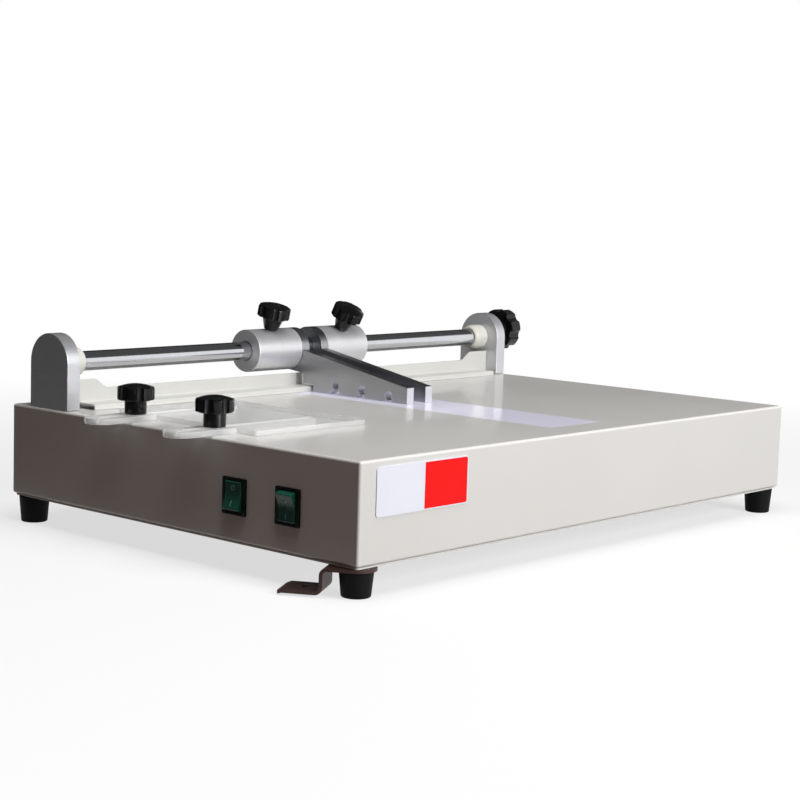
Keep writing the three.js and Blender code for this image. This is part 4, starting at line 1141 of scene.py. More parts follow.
@dataclass
class Feet(Assembly):
    """Four tapered rubber feet with their screws."""

    top: float = 14.5  # radius at the top
    bottom: float = 12.5  # radius at the bottom
    edge: float = 1.5  # radius of the lower edge
    recess: float = 5.5  # radius of the screw's recess
    recess_depth: float = 12
    hole: float = 2.7  # radius of the screw's hole
    head: float = 3.4  # height of the screw's head
    shank: float = 2.4  # radius of the screw's shank

    def build(self) -> None:
        """Build all feet and their screws."""
        for corner in ("front_left", "front_right", "back_left", "back_right"):
            self.build_foot(f"foot_{corner}")
            self.build_screw(f"foot_screw_{corner}")

    def build_foot(self, node: str) -> None:
        """Place and dress one foot.

        Args:
            node: Its node.
        """
        low, high, place = box(node)
        height = high.z - low.z
        foot = Piece.repeat(f"rubber_{node}", ("foot", round(height, 2)), lambda: self.model_foot(height))
        foot.place(shift(place.x, place.y, 0)).soften(smooth=30).finish(Finishes.RUBBER, "case", node)

    def build_screw(self, node: str) -> None:
        """Place and dress one screw.

        Args:
            node: Its node.
        """
        low, _, place = box(node)
        screw = Piece.repeat(f"{node}_head", "foot_screw", lambda: self.model_screw(node))
        screw.place(shift(place.x, place.y, low.z)).soften(smooth=35).finish(Finishes.ZINC, "case", node)

    def model_foot(self, height: float) -> Piece:
        """Turn a foot with a rounded lower edge, a collar line and a recess.

        Args:
            height: Its height.

        Returns:
            The foot.
        """
        profile = [(self.hole, self.recess_depth), (self.recess, self.recess_depth), (self.recess, 0.6)]
        profile += [(self.recess + 0.6, 0), (self.bottom - self.edge, 0)]
        profile += arc((self.bottom - self.edge, self.edge), self.edge, -90, 0, 6)[1:]
        profile += [(self.top - 0.1, height - 1.2), (self.top, height - 1.0), (self.top, height - 0.4)]
        profile += [(self.top - 0.4, height), (self.hole, height), (self.hole, self.recess_depth)]
        return Piece.turned("foot", profile, 72)

    def model_screw(self, node: str) -> Piece:
        """Turn a pan-head screw, head down, with a cross recess.

        Args:
            node: Its node.

        Returns:
            The screw.
        """
        low, high, _ = box(node)
        head, length = (high.x - low.x) / 2, high.z - low.z
        profile = [(0, 0), (head * 0.45, 0), (head * 0.8, 0.5), (head, 1.5), (head, self.head)]
        profile += [(self.shank, self.head), (self.shank, length - 0.5)]
        profile += [(self.shank - 0.4, length), (0, length)]
        return Piece.turned("foot_screw", profile, 36).cross((head * 0.5, 0.55, 1.3), 0.3)


@dataclass
class HoldDown(Assembly):
    """The bent strip clamped above the front left foot."""

    width: float = 34  # of the strip
    thickness: float = 3
    bend: float = 3.5  # inner radius of its bends
    reach: float = 27  # from the foot's centre to the web's outer face
    tab: float = 31  # length of the tab
    clearance: float = 2.2  # height of the tab's underside
    drop: float = 1.4  # how far its tip turns down
    tip: float = 4  # length of the tip
    corner: float = 3  # radius of its corners
    hole: float = 2.6  # radius of the hole in the tab
    screw_hole: float = Feet.hole
    swing: float = 120  # direction of the strip from +X, in degrees

    def side(self) -> Outline:
        """Return the strip's side view: a flange under the case, a web and a tab.

        Returns:
            The outline, from the foot's centre out.
        """
        top, start = box("hold_down_bracket")[1].z, -self.width / 2 - 1
        outer, low, thick = self.bend + self.thickness, self.clearance, self.thickness
        fold, edge = self.reach - outer, self.reach + self.tab
        side = [(start, top), (start, top - thick)] + arc((fold, top - outer), self.bend, 90, 0, 8)
        side += arc((self.reach - thick + outer, low + outer), outer, 180, 270, 10)
        side += [(edge, low), (edge + self.tip, low - self.drop)]
        side += [(edge + self.tip, low - self.drop + thick), (edge, low + thick)]
        side += arc((self.reach + outer - thick, low + outer), self.bend, 270, 180, 8)
        return side + arc((fold, top - outer), outer, 0, 90, 10)

    def build(self) -> None:
        """Push the strip's side out to its width, round its ends and drill it."""
        half, end, r = self.width / 2, self.reach + self.tab + self.tip, self.corner
        strip = Piece.plate("hold_down_strip", self.side(), self.width)
        strip.place(Lay.FRONT.matrix() @ shift(0, 0, -half))
        plan = [(end - r, -half)] + arc((end - r, -half + r), r, 270, 360, 6)[1:]
        plan += arc((end - r, half - r), r, 0, 90, 6) + arc((0, 0), half, 90, 270, 24)
        strip.combine(Piece.plate("plan", plan, 60).place(shift(0, 0, -20)), "INTERSECT")
        for x, radius in ((0, self.screw_hole), (self.reach + self.tab / 2, self.hole)):
            strip.cut(Piece.rod(radius, 60).place(shift(x, 0, -20)))
        foot = box("foot_front_left")[2]
        strip.place(shift(foot.x, foot.y, 0) @ spin("Z", self.swing)).soften(0.35, 2, smooth=38)
        strip.finish(Finishes.BRONZE, "case", "hold_down_bracket")


@dataclass(frozen=True)
class StarKnob:
    """A star knob and its sizes, in millimetres."""

    radius: float = 17  # of the head
    head: float = 12  # height of the head's rim
    dome: float = 2.8  # rise of its domed top
    hub: float = 13  # height of the hub
    seat: float = 10  # radius of the hub at its seat
    flare: float = 10  # radius of the hub under the head
    lobes: int = 7
    scallop: float = 4.6  # radius of the hollows between the lobes
    bore: float = 3.3  # radius of the bore for the stud
    bore_depth: float = 10.3
    rim: float = 2  # radius of the head's upper edge

    def make(self, name: str) -> Piece:
        """Return a knob of these sizes."""
        return Piece.repeat(name, self, self.model)

    def model(self) -> Piece:
        """Model the knob about Z with its seat at 0.

        Returns:
            The knob, softened and smooth.
        """
        top, hub, outer = self.hub + self.head, self.hub, self.radius - self.rim
        head = [(0, hub - 0.6), (self.radius * 0.55, hub - 0.6), (self.radius * 0.72, hub)]
        head += [(self.radius - 0.9, hub), (self.radius, hub + 0.9), (self.radius, top - self.rim)]
        head += arc((outer, top - self.rim), self.rim, 0, 90, 5)[1:]
        for step in range(1, 9):
            share = 1 - step / 8.6
            head.append((outer * share, top + self.dome * (1 - share ** 2)))
        knob = Piece.turned("knob", head + [(0, top + self.dome)], self.lobes * 14)
        for lobe in range(self.lobes):
            hollow = shift(self.radius + self.scallop * 0.42, 0, hub - 2)
            cutter = Piece.rod(self.scallop, self.head + self.dome + 4, 28)
            knob.cut(cutter.place(spin("Z", 360 * (lobe + 0.5) / self.lobes) @ hollow))
        knob.soften(0.7, 3, angle=38, smooth=50)
        stem = [(0, 0), (self.seat - 0.5, 0), (self.seat, 0.5), (self.flare, hub - 1)]
        stem += [(self.flare + 0.5, hub - 0.4), (self.flare + 0.9, hub + 0.2), (0, hub + 0.2)]
        bore = Piece.rod(self.bore, self.bore_depth + CUT).place(shift(0, 0, -CUT))
        Piece.turned("stem", stem, 56).cut(bore).soften(smooth=35).obj.select_set(True)
        knob.obj.select_set(True)
        bpy.context.view_layer.objects.active = knob.obj
        bpy.ops.object.join()
        return knob


@dataclass(frozen=True)
class Stud:
    """A knob's threaded stud and its sizes, in millimetres."""

    length: float
    radius: float = 3  # over the thread
    pitch: float = 1

    def build(self, name: str, place: Matrix, body: str, node: str) -> None:
        """Place a stud and dress it.

        Args:
            name: Object name.
            place: Where its lower end and axis go.
            body: Body that it rides on.
            node: Node that it replaces.
        """
        stud = Piece.repeat(name, self, self.model).place(place)
        stud.soften(smooth=25).finish(Finishes.ZINC, body, node)

    def model(self) -> Piece:
        """Turn the stud with its thread.

        Returns:
            The stud about Z from 0 up.
        """
        root = self.radius - self.pitch * 0.5
        groove = [(self.radius, 0.35), (self.radius, 0.5), (root, 0.9)]
        profile = [(0, 0), (root, 0)] + thread(0.2, self.length, self.pitch, groove)
        return Piece.turned("stud", profile + [(root, self.length), (0, self.length)], 32)


@dataclass
class ShaftSet(Assembly):
    """Shaft, end brackets, bushes, their screws and the lock knob."""

    radius: float = 9.5  # of the shaft
    chamfer: float = 1  # of the shaft's ends
    bracket: float = 15  # thickness of a bracket
    bracket_radius: float = 28  # of its round top
    bore: float = 12.5  # radius of its bore
    bore_depth: float = 9.5
    bush: float = 14.2  # radius of a bush's flange
    projection: float = 20  # how far a bush stands out of its bracket
    nose: float = 7  # length of a bush's round nose
    stud_hole: float = 3.3  # radius of the lock stud's hole

    def build(self) -> None:
        """Build the whole set."""
        self.build_shaft()
        for side in Side:
            self.build_bracket(side)
            self.build_bush(side)
            for index in (1, 2):
                self.dress(f"bracket_screw_{side.word}_{index}", Finishes.ZINC)
        self.build_lock()

    def build_shaft(self) -> None:
        """Turn the shaft with chamfered ends."""
        low, high, _ = box("shaft")
        length, radius, edge = high.x - low.x, self.radius, self.chamfer
        profile = [(0, 0), (radius - edge, 0), (radius, edge), (radius, length - edge)]
        profile += [(radius - edge, length), (0, length)]
        shaft = Piece.turned("ground_bar", profile, 96)
        shaft.place(on_shaft(low.x) @ spin("Y", 90)).soften(smooth=30)
        shaft.finish(Finishes.SHAFT, "shaft", "shaft")

    def build_bracket(self, side: Side) -> None:
        """Draw an end bracket's outline, push it out, bore it and break its edges.

        Args:
            side: Its end of the shaft.
        """
        node = f"end_bracket_{side.word}"
        low, inner, radius = box(node)[0], side.inner(node), self.bracket_radius
        foot = low.z - SHAFT_Z
        outline = [(-radius, foot), (radius, foot)] + arc((0, 0), radius, 0, 180, 48)
        blank = Piece.repeat(
            f"bracket_{side.word}", "bracket", lambda: Piece.plate("bracket", outline, self.bracket)
        )
        bracket = blank.place(on_shaft(low.x) @ Lay.ALONG_X.matrix())
        bore = Piece.rod(self.bore, self.bore_depth + CUT, 64)
        bracket.cut(bore.place(on_shaft(inner - side.value * CUT) @ side.outward()))
        if side is Side.RIGHT:
            stud = box("lock_stud")[2]
            spot = shift(inner + 2, stud.y, stud.z) @ side.outward()
            bracket.cut(Piece.rod(self.stud_hole, 40).place(spot))
        bracket.soften(0.8, 3, smooth=38).finish(Finishes.BRACKET, "case", node)

    def build_bush(self, side: Side) -> None:
        """Place and dress a bush.

        Args:
            side: Its end of the shaft.
        """
        bush = Piece.repeat(f"nylon_bush_{side.word}", "bush", self.model_bush)
        bush.place(on_shaft(side.inner(f"end_bracket_{side.word}")) @ spin("Y", -90 * side.value))
        bush.soften(smooth=32).finish(Finishes.NYLON, "case", f"bush_{side.word}")

    def model_bush(self) -> Piece:
        """Turn a flanged bush with a round nose.

        Returns:
            The bush.
        """
        bore, back = self.radius + GAP, GAP - self.bore_depth
        profile = [(bore, back), (self.bore - GAP, back), (self.bore - GAP, GAP), (self.bush - 0.4, GAP)]
        profile.append((self.bush, 0.7))
        drop, top = self.bush - bore - 0.8, self.projection - GAP
        for x, y in arc((0, 0), 1, 0, 90, 12):
            profile.append((self.bush - drop * (1 - x), top - self.nose * (1 - y)))
        profile += [(bore + 0.3, top), (bore, top - 0.3), (bore, back)]
        return Piece.turned("bush", profile, 72)

    def build_lock(self) -> None:
        """Build the large knob beyond the right bracket and its stud."""
        low, high, stud = box("lock_stud")
        outward = Side.RIGHT.outward()
        size = StarKnob(radius=24, head=17, dome=4, hub=18, seat=13.5, flare=13.5, scallop=6.2)
        knob = size.make("lock_star_knob").place(shift(box("lock_knob")[0].x, stud.y, stud.z) @ outward)
        knob.finish(Finishes.KNOB, "lock", "lock_knob")
        place = shift(low.x, stud.y, stud.z) @ outward
        Stud(high.x - low.x).build("lock_knob_stud", place, "lock", "lock_stud")


@dataclass
class Arm(Assembly):
    """One collar with its gauge plate, knob, stud and screws."""

    side: Side
    turn: float  # of its knob about the shaft, in degrees
    radius: float = 22  # of the collar
    bore: float = 9.8  # radius of the bore round the shaft
    plate: float = 10  # thickness of the plate
    reach: float = 170.4  # from the shaft's axis to the plate's nose
    nose: float = 16.5  # height of the nose
    notch: float = 5.3  # radius of the keyholes
    notches: int = 3
    first_notch: float = 25  # from the nose to the first keyhole
    notch_spacing: float = 37.3
    notch_height: float = 5.6  # of the first keyhole's centre
    notch_step: float = 2.2  # rise of the centre from one keyhole to the next
    neck: float = 6.4  # width of a keyhole's neck
    flare: float = 5  # size of the flare at its mouth
    step_gap: float = 4  # from the fence's toe to the step over it
    step: float = 8  # height of that step above the table
    setback: float = 23  # from the axis to the back of the plate's foot
    drop: float = 2.4  # depth of that corner under the eye
    stud_hole: float = 3.3  # radius of the knob stud's hole
    knob_gap: float = 0.5  # from the collar to the knob
    grip: float = 10  # how far the stud goes into the knob
    screw_head: float = 3.6  # radius of an eye screw's head
    screw_shank: float = 1.9  # radius of its shank
    screw_sink: float = 4  # depth of its seat
    bright_foot: float = 20  # height over the table under which the plate's side faces get the painted highlight
    bright_nose: float = 10  # depth from the nose within which its faces get the painted highlight

    @property
    def body(self) -> str:
        """Return the body that the arm moves as."""
        return f"arm_{self.side.word}"

    def build(self) -> None:
        """Build the whole arm."""
        self.build_collar()
        self.build_plate()
        self.build_knob()
        for index in (1, 2):
            self.build_screw(f"eye_screw_{self.side.word}_{index}")

    def build_collar(self) -> None:
        """Turn the collar with broken edges and drill it for its stud."""
        node = f"collar_{self.side.word}"
        low, high, _ = box(node)
        length, radius, edge = high.x - low.x, self.radius, 0.7
        profile = [(self.bore, 0), (radius - 0.25, 0), (radius, 0.25), (radius, length - edge)]
        profile += [(radius - edge * 0.3, length - edge * 0.3), (radius - edge, length)]
        profile += [(self.bore + 0.8, length), (self.bore, length - 0.8), (self.bore, 0)]
        name = f"turned_collar_{self.side.word}"
        collar = Piece.repeat(name, "collar", lambda: Piece.turned("collar", profile, 96))
        collar.place(on_shaft(self.side.inner(node)) @ self.side.outward())
        collar.cut(Piece.rod(self.stud_hole, 40).place(on_shaft((low.x + high.x) / 2) @ spin("X", self.turn)))
        collar.soften(smooth=30).finish(Finishes.COLLAR, self.body, node)

    def plate_outline(self, bottom: float) -> Outline:
        """Return the plate's outline about the shaft, nose to -x.

        Args:
            bottom: Height of its lower edge from the shaft's axis.

        Returns:
            The outline.
        """
        nose, neck = -self.reach, self.neck / 2
        turn = math.degrees(math.asin(neck / self.notch))
        outline: Outline = [(nose, bottom)]
        for index in range(self.notches):
            x = nose + self.first_notch + index * self.notch_spacing
            centre = bottom + self.notch_height + index * self.notch_step
            rise = min(self.flare, 0.8 * (centre - bottom - self.notch * math.cos(math.radians(turn))))
            outline += [(x - neck - self.flare, bottom), (x - neck, bottom + rise)]
            outline += arc((x, centre), self.notch, 270 - turn, -90 + turn, 24)
            outline += [(x + neck, bottom + rise), (x + neck + self.flare, bottom)]
        toe = box("fence")[0].y - SHAFT_Y - self.step_gap
        step = CASE_HIGH.z + self.step - SHAFT_Z
        outline += [(toe, bottom), (toe, step), (-self.setback, step)]
        outline.append((-self.setback, -self.radius - self.drop))
        return outline + arc((0, 0), self.radius, -90, 180, 60) + [(nose, bottom - GAP + self.nose)]

    def build_plate(self) -> None:
        """Build the plate: outline, thickness, bore, screw seats, broken edges, and a painted highlight on
        its ends.
        """
        node = f"gauge_plate_{self.side.word}"
        low, inner = box(node)[0], self.side.inner(node)
        outline = self.plate_outline(low.z - SHAFT_Z)
        name = f"wedge_plate_{self.side.word}"
        plate = Piece.repeat(name, "wedge_plate", lambda: Piece.plate("wedge_plate", outline, self.plate))
        plate.place(on_shaft(low.x) @ Lay.ALONG_X.matrix())
        plate.cut(Piece.rod(self.bore, 30, 64).place(on_shaft(low.x - 10) @ spin("Y", 90)))
        for index in (1, 2):
            screw = box(f"eye_screw_{self.side.word}_{index}")[2]
            spot = shift(inner - self.side.value * self.screw_sink, screw.y, screw.z) @ self.side.outward()
            for radius, length in ((self.screw_head + GAP, 6), (self.screw_shank + GAP, 20)):
                plate.cut(Piece.rod(radius, length).place(spot))
        plate.soften(0.7, 3, angle=40, smooth=38).finish(Finishes.GAUGE, self.body, node)
        foot, nose = (CASE_HIGH.z + self.bright_foot) * MM, (low.y + self.bright_nose) * MM
        # The nose, the foot and the keyhole walls get the lighter finish, a painted highlight
        plate.reface(
            Finishes.GAUGE_ENDS,
            lambda normal, centre: abs(normal.x) < 0.8 and (centre.y < nose or centre.z < foot),
        )

    def build_screw(self, node: str) -> None:
        """Turn an eye screw with a socket head.

        Args:
            node: Its node.
        """
        low, high, centre = box(node)
        length, head, shank = high.x - low.x, self.screw_head, self.screw_shank
        profile = [(0, 0), (head - 0.3, 0), (head, 0.3), (head, 1.4), (shank, 1.4), (shank, length - 0.4)]
        profile += [(shank - 0.4, length), (0, length)]
        name = f"{node}_socket_head"
        screw = Piece.repeat(name, "eye_screw", lambda: Piece.turned("eye_screw", profile, 36))
        screw.cut(Piece.rod(1.7, 3, 6).place(shift(0, 0, -2)))
        screw.place(shift(self.side.inner(node), centre.y, centre.z) @ self.side.outward())
        screw.soften(smooth=30).finish(Finishes.ZINC, self.body, node)

    def build_knob(self) -> None:
        """Build the collar's knob and its stud."""
        word = self.side.word
        stand = on_shaft(box(f"collar_{word}")[2].x) @ spin("X", self.turn)
        seat = self.radius + self.knob_gap
        knob = StarKnob(seat=7.5, flare=11, scallop=4.4).make(f"collar_star_knob_{word}")
        knob.place(stand @ shift(0, 0, seat)).finish(Finishes.KNOB, f"knob_{word}", f"collar_knob_{word}")
        stud = Stud(seat + self.grip - self.bore)
        stud.build(
            f"collar_knob_stud_{word}", stand @ shift(0, 0, self.bore), f"knob_{word}", f"collar_stud_{word}"
        )


@dataclass
class Fence(Assembly):
    """The bent fence under the shaft with its two screws."""

    sheet: float = 1.5  # thickness of the sheet
    setback: float = 11  # from the shaft's axis to the wall's back
    foot_height: float = 5.5  # of the foot's top above the table
    foot_end: float = 12  # from a bracket to the end of the foot
    bend: float = 2.2  # outer radius of the foot's front bend
    corner: float = 1.2  # inner radius between foot and wall
    height: float = 18  # of the wall
    end_height: float = 27  # of its raised ends
    end_length: float = 28  # of the raised ends
    sweep: float = 18  # length of the sweep between them
    tab: float = 22  # length of the end tabs
    tab_bottom: float = 7  # height of the tabs' lower edge
    screw_head: float = Arm.screw_head
    screw_shank: float = Arm.screw_shank
    screw_height: float = 2.4  # of a screw's pan head

    def wall_outline(self, end: float) -> Outline:
        """Return the wall's outline, raised at both ends by a smooth sweep.

        Args:
            end: Half its length.

        Returns:
            The outline.
        """
        rise = self.end_height - self.height
        half: Outline = [(end, self.end_height)]
        for share in [step / 16 for step in range(17)]:
            ease = (1 - math.cos(math.pi * share)) / 2
            half.append((end - self.end_length - self.sweep * share, self.end_height - rise * ease))
        low = self.foot_height - self.sheet
        return [(-end, low), (end, low)] + half + [(-x, z) for x, z in reversed(half)]

    def build(self) -> None:
        """Build the fence and its screws."""
        low, high, _ = box("fence")
        end, centre, top = (high.x - low.x) / 2, (low.x + high.x) / 2, CASE_HIGH.z
        back, toe = SHAFT_Y - self.setback, low.y
        front, under, over = back - self.sheet, self.foot_height - self.sheet, self.foot_height + self.corner
        fence = Piece.plate("folded_fence", self.wall_outline(end), self.sheet)
        fence.place(shift(centre, back, top) @ Lay.FRONT.matrix())
        fold = [(toe, GAP), (toe + self.sheet, GAP), (toe + self.sheet, under), (back, under), (back, over)]
        fold += [(front, over)] + arc((front - self.corner, over), self.corner, 0, -90, 5)
        fold += arc((toe + self.bend, self.foot_height - self.bend), self.bend, 90, 180, 8)
        foot = Piece.plate("foot", fold, 2 * (end - self.foot_end))
        fence.weld(foot.place(shift(low.x + self.foot_end, 0, top) @ Lay.ALONG_X.matrix()))
        for side in Side:
            edge = centre + side.value * end
            inner = edge - side.value * self.sheet
            fence.weld(Piece.block(
                "tab",
                (min(edge, inner), front, top + self.tab_bottom),
                (max(edge, inner), back + self.tab, top + self.end_height),
            ))
            self.build_screw(side)
        fence.soften(0.3, 2, angle=40, smooth=38).finish(Finishes.FENCE, "case", "fence")

    def build_screw(self, side: Side) -> None:
        """Turn a pan-head screw with a cross recess for one end tab.

        Args:
            side: The tab's end of the fence.
        """
        node = f"fence_screw_{side.word}"
        low, high, centre = box(node)
        length, head, shank = high.x - low.x, self.screw_head, self.screw_shank
        seat = length - self.screw_height
        profile = [(0, 0), (shank, 0), (shank, seat), (head, seat), (head, length - 1.2)]
        profile += [(head - 0.6, length - 0.3), (head / 2, length), (0, length)]
        name = f"{node}_pan_head"
        screw = Piece.repeat(name, "fence_screw", lambda: Piece.turned("fence_screw", profile, 36))
        screw.cross((1.9, 0.4, 1), length)
        start = low.x if side is Side.LEFT else high.x
        screw.place(shift(start, centre.y, centre.z) @ spin("Y", -90 * side.value))
        screw.soften(smooth=35).finish(Finishes.ZINC, "case", node)


@dataclass
class ClearGuide(Assembly):
    """The clear slotted guide, its clamp knobs and studs."""

    body: float = 138  # length of the sheet's body
    corner: float = 3  # radius of its corners
    leg: float = 30  # width of a leg
    spacing: float = 105.5  # between the legs' middles
    slot_from_tip: float = 17  # from a leg's tip to the slot's first centre
    slot: float = 155  # between the slot's two centres
    slot_half: float = 4.5  # half the slot's width
    stud: float = Case.stud
    root: float = 3.4  # radius of the stud's thread at its root
    head: float = 7  # radius of the stud's hidden head
    head_height: float = 3.5
    pitch: float = 1.25

    def build(self) -> None:
        """Build the sheet and both clamps."""
        self.build_sheet()
        for name, turn in zip(NAMES, (12, 30)):
            self.build_clamp(name, turn)

    def build_sheet(self) -> None:
        """Draw the sheet with its two legs, cut the slots, round the edges and give them a hazier finish."""
        low, high, _ = box("guide_sheet")
        left, half, r = high.x - self.body, self.leg / 2, self.corner
        legs = [(low.y + high.y) / 2 + side * self.spacing / 2 for side in (1, -1)]
        outline = arc((high.x - r, low.y + r), r, 270, 360, 6) + arc((high.x - r, high.y - r), r, 0, 90, 6)
        outline += arc((left + r, high.y - r), r, 90, 180, 6)
        for y in legs:
            outline += [(left, y + half)] + arc((low.x + half, y), half, 90, 270, 28) + [(left, y - half)]
        outline += arc((left + r, low.y + r), r, 180, 270, 6)
        sheet = Piece.plate("clear_sheet", outline, high.z - low.z).place(shift(0, 0, low.z))
        start = low.x + self.slot_from_tip
        for y in legs:
            slot = arc((start + self.slot, y), self.slot_half, -90, 90, 14)
            slot += arc((start, y), self.slot_half, 90, 270, 14)
            sheet.cut(Piece.plate("slot", slot, 20).place(shift(0, 0, low.z - CUT)))
        sheet.soften(0.45, 3, angle=40, smooth=36).finish(Finishes.CLEAR, "guide", "guide_sheet")
        sheet.reface(Finishes.CLEAR_EDGE, lambda normal, _: abs(normal.z) < 0.9)

    def build_clamp(self, name: str, turn: float) -> None:
        """Build one clamp's knob and its stud with a hidden head.

        Args:
            name: Name of the clamp.
            turn: Turn of its knob in degrees.
        """
        low, high, place = box(f"guide_stud_{name}")
        node = f"guide_knob_{name}"
        knob = StarKnob(bore=4.3, bore_depth=14).make(f"guide_star_knob_{name}")
        knob.place(shift(place.x, place.y, box(node)[0].z) @ spin("Z", turn))
        knob.finish(Finishes.KNOB, node, node)
        length = high.z - low.z
        profile = [(0, 0), (self.head - 0.6, 0), (self.head, 0.6), (self.head, self.head_height)]
        profile += [(self.stud, self.head_height)]
        groove = [(self.root, 0), (self.stud, 0.4), (self.stud, 0.55)]
        profile += thread(self.head_height + 1, length, self.pitch, groove)
        profile += [(self.root, length), (0, length)]
        stud = Piece.repeat(f"clamp_stud_{name}", "clamp_stud", lambda: Piece.turned("stud", profile, 36))
        stud.place(shift(place.x, place.y, low.z)).soften(smooth=25)
        stud.finish(Finishes.ZINC, "case", f"guide_stud_{name}")


@dataclass
class Inlet(Assembly):
    """The mains inlet in the back wall."""

    bezel: float = 2  # thickness of the bezel
    width: float = Case.inlet_width
    height: float = Case.inlet_height
    corner: float = 2.5  # radius of the bezel's corners
    socket: float = 15  # depth of the socket
    socket_x: float = 12  # half its width
    socket_z: float = 8.25  # half its height
    slant_x: float = 7  # where its slanted corners end
    slant_z: float = 3.2  # where they start
    pin_width: float = 2
    pin_height: float = 4
    pin_length: float = 12
    pin_spacing: float = 7
    pin_rise: float = 2  # of the middle pin, and drop of the others
    screw_reach: float = 19  # from the middle to a bezel screw

    def build(self) -> None:
        """Build bezel, body, socket, pins and the two bezel screws."""
        low, high, centre = box("power_inlet")
        lay = shift(centre.x, high.y, centre.z) @ Lay.ALONG_Y.matrix()
        bezel = rounded_rectangle(high.x - low.x, high.z - low.z, self.corner)
        inlet = Piece.plate("inlet_housing", bezel, self.bezel)
        wide, tall = self.width / 2, self.height / 2
        inlet.place(lay @ shift(0, 0, -self.bezel)).weld(Piece.block(
            "body", (centre.x - wide, low.y, centre.z - tall), (centre.x + wide, high.y - 1, centre.z + tall)
        ))
        x, z = self.socket_x, self.socket_z
        key = [(-x, -z), (x, -z), (x, self.slant_z)]
        key += [(self.slant_x, z), (-self.slant_x, z), (-x, self.slant_z)]
        inlet.cut(Piece.plate("socket", key, 20).place(lay @ shift(0, 0, -self.socket)))
        inlet.soften(0.5, 3, angle=30).finish(Finishes.HOUSING, "case", "power_inlet")
        for place in (-1, 0, 1):
            rise = self.pin_rise * (1 - 2 * abs(place))
            outline = rounded_rectangle(self.pin_width, self.pin_height, 0.4)
            name = f"inlet_pin_{place + 2}"
            pin = Piece.repeat(name, "pin", lambda: Piece.plate("pin", outline, self.pin_length))
            pin.place(lay @ shift(place * self.pin_spacing, rise, -self.socket))
            pin.soften(0.3, 2).finish(Finishes.ZINC, "case")
        head = [(0, 0), (2.6, 0), (2.5, 0.5), (1.6, 1.1), (0.5, 1.3), (0, 1.3)]
        for side in (-1, 1):
            name = f"inlet_screw_{side + 2}"
            screw = Piece.repeat(name, "inlet_screw", lambda: Piece.turned("screw", head, 28))
            screw.cross((1.4, 0.3, 0.7), 1.3, 20).place(lay @ shift(side * self.screw_reach, 0, 0))
            screw.soften().finish(Finishes.ZINC, "case")


@dataclass
class Lamp:
    """A soft lamp."""

    name: str
    place: Triple  # in metres
    aim: Triple  # point that it faces
    size: tuple[float, float]
    power: float  # in watts
    tint: Triple = (1, 1, 1)
    gloss: bool = False  # whether gloss shows it


@dataclass
class Card:
    """A plain card beside the machine that only gloss shows, for contrast."""

    name: str
    place: Triple  # of its middle, in metres
    turn: Triple  # about X, Y and Z in degrees
    size: tuple[float, float]
    shade: float  # how bright it is


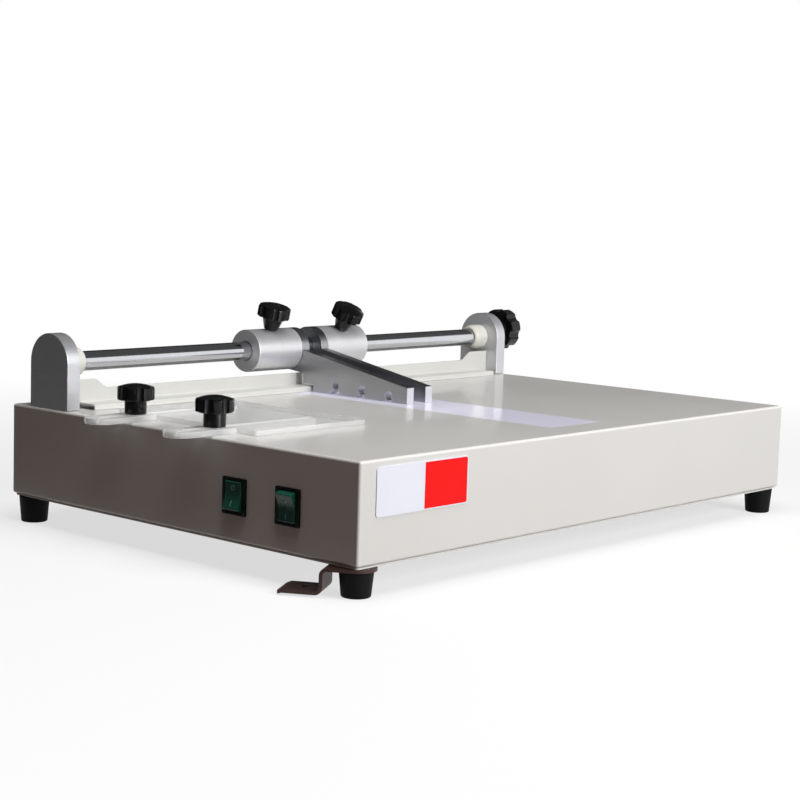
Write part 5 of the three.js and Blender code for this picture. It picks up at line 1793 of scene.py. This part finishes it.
class Studio(Assembly):
    """Floor, world, lamps, cards and camera."""

    LAMPS = (
        Lamp("key", (0.1, -2.6, 1.0), (0.1, 0, 0.08), (0.9, 1.2), 62, gloss=True),
        Lamp("overhead", (-0.3, -0.4, 1.7), (-0.2, -0.1, 0.1), (0.8, 1.2), 21),
        Lamp("left_fill", (-2.4, -0.2, 0.7), (0, 0, 0.08), (1.2, 0.8), 0.7, (1, 0.66, 0.56)),
    )
    CARDS = (
        Card("left_card", (-1.0, 0.75, 0.65), (0, 90, 0), (1.3, 2.3), 0.09),
        Card("back_card", (0.4, 1.35, 0.85), (90, 0, 0), (5.6, 1.7), 0.03),
        Card("spark_card", (0.2, -1.3, 1.5), (40, 0, 0), (0.4, 0.15), 4.0),
        Card("camera_card", (-2.6, -2.3, 0.8), (90, 0, -49), (3.2, 1.6), 0.12),
        Card("top_card", (0.6, -0.45, 1.9), (0, 0, 0), (5.2, 3.9), 0.08),
        Card("floor_card", (-1.35, 0.55, 0.003), (0, 0, 0), (1.9, 2.9), 0.1),
    )
    WHITE, PALE = (1, 1, 1, 1), (0.9, 0.9, 0.9, 1)
    BOUNCE = (0.07, 0.05, 0.045, 1)  # the floor's colour for the light that it gives back
    WORLD_TINT = (1.0, 0.72, 0.68, 1)
    SENSOR, LENS = 36, 81.45  # the camera's, in millimetres
    LENS_SHIFT = (-0.00184, -0.00919)
    CAMERA_PLACE = (-1.358617, -1.189102, 0.32719)  # in metres
    CAMERA_TURN = (1.459007, -0.03096, -0.839577)  # in radians

    def build(self) -> None:
        """Build the studio and set the camera."""
        self.build_floor()
        self.build_world()
        for lamp in self.LAMPS:
            self.build_lamp(lamp)
        for card in self.CARDS:
            self.build_card(card)
        self.build_camera()

    @staticmethod
    def seen_rays(graph: Graph) -> Socket:
        """Add a value that is 1 for rays from the camera, also through glass and gloss.

        Args:
            graph: Graph of a material or the world.

        Returns:
            The value.
        """
        rays = graph.add("ShaderNodeLightPath").outputs
        first = graph.maths("MAXIMUM", rays["Is Camera Ray"], rays["Is Glossy Ray"])
        return graph.maths("MAXIMUM", first, rays["Is Transmission Ray"])

    @staticmethod
    def new_plane(name: str, size: float, place: Triple, turn: Triple = (0, 0, 0)) -> tuple[Any, Graph, Any]:
        """Add a stage plane with a material of its own.

        Args:
            name: Name of the plane and the material.
            size: Its width in metres.
            place: Its middle in metres.
            turn: Its turn about X, Y and Z in degrees.

        Returns:
            The object, the material's graph and its shader.
        """
        bpy.ops.object.select_all(action="DESELECT")
        lean = [math.radians(way) for way in turn]
        bpy.ops.mesh.primitive_plane_add(size=size, location=place, rotation=lean)
        obj = bpy.context.object
        obj.name = name
        material, graph, shader = new_material(name)
        obj.data.materials.append(material)
        graph.feed(shader, Specular_IOR_Level=0.0)
        return obj, graph, shader

    def build_floor(self) -> None:
        """Lay a pale floor that fades to plain white away from the machine."""
        _, graph, shader = self.new_plane("studio_floor", 60, (0, 0, 0))
        seen = self.seen_rays(graph)
        graph.feed(shader, Base_Color=graph.mix(seen, self.BOUNCE, self.PALE), Roughness=0.9)
        reach = graph.add("ShaderNodeVectorMath", {0: graph.place()}, operation="LENGTH").outputs["Value"]
        share = graph.maths("MULTIPLY", seen, graph.span(reach, 0.45, 1.3, 0.68, 1.0))
        white = graph.add("ShaderNodeEmission", {"Color": self.WHITE, "Strength": 1.0})
        mixed = graph.add("ShaderNodeMixShader", {0: share, 1: shader.outputs[0], 2: white.outputs[0]})
        graph.feed(graph.tree.nodes["Material Output"], Surface=mixed.outputs[0])

    def build_card(self, card: Card) -> None:
        """Stand one card.

        Args:
            card: The card.
        """
        obj, graph, shader = self.new_plane(card.name, 1, card.place, card.turn)
        obj.scale = (*card.size, 1)
        obj.visible_camera = obj.visible_diffuse = obj.visible_transmission = obj.visible_shadow = False
        graph.feed(shader, Base_Color=(0, 0, 0, 1), Emission_Color=self.WHITE, Emission_Strength=card.shade)

    def build_world(self) -> None:
        """Light the world evenly and show white behind the machine."""
        world = bpy.data.worlds.new("studio")
        bpy.context.scene.world = world
        world.use_nodes = True
        world.node_tree.nodes.clear()
        graph = Graph(world.node_tree)
        dim = graph.add("ShaderNodeBackground", {"Color": self.WORLD_TINT, "Strength": 0.05})
        white = graph.add("ShaderNodeBackground", {"Color": self.WHITE, "Strength": 1.0})
        seen = self.seen_rays(graph)
        mixed = graph.add("ShaderNodeMixShader", {0: seen, 1: dim.outputs[0], 2: white.outputs[0]})
        graph.add("ShaderNodeOutputWorld", {0: mixed.outputs[0]})

    @staticmethod
    def build_lamp(lamp: Lamp) -> None:
        """Hang one lamp.

        Args:
            lamp: The lamp.
        """
        light = bpy.data.lights.new(lamp.name, "AREA")
        light.shape = "RECTANGLE"
        light.size, light.size_y = lamp.size
        light.energy, light.color = lamp.power, lamp.tint
        obj = bpy.data.objects.new(lamp.name, light)
        obj.location = lamp.place
        aim = Vector(lamp.aim) - Vector(lamp.place)
        obj.rotation_euler = aim.to_track_quat("-Z", "Y").to_euler()
        obj.visible_glossy = lamp.gloss
        bpy.context.scene.collection.objects.link(obj)

    def build_camera(self) -> None:
        """Set the camera at the photograph's view, as fitted to it."""
        lens = bpy.data.cameras.new("camera")
        lens.sensor_width, lens.lens = self.SENSOR, self.LENS
        lens.shift_x, lens.shift_y = self.LENS_SHIFT
        lens.clip_end = 50
        camera = bpy.data.objects.new("camera", lens)
        camera.location = self.CAMERA_PLACE
        camera.rotation_euler = self.CAMERA_TURN
        bpy.context.scene.collection.objects.link(camera)
        bpy.context.scene.camera = camera


def main() -> None:
    """Build the machine and its studio in order."""
    logging.basicConfig(level=logging.INFO, format="%(name)s: %(message)s")
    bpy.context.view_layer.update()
    bpy.context.scene.view_settings.view_transform = "Standard"
    arms = (Arm(Side.LEFT, turn=13), Arm(Side.RIGHT, turn=28))
    before = (Studio(), Case(), Switches(), Labels(), Feet(), HoldDown(), ShaftSet())
    for assembly in (*before, *arms, Fence(), ClearGuide(), Inlet()):
        assembly.build()
    Piece.forget()


if __name__ == "__main__":
    main()
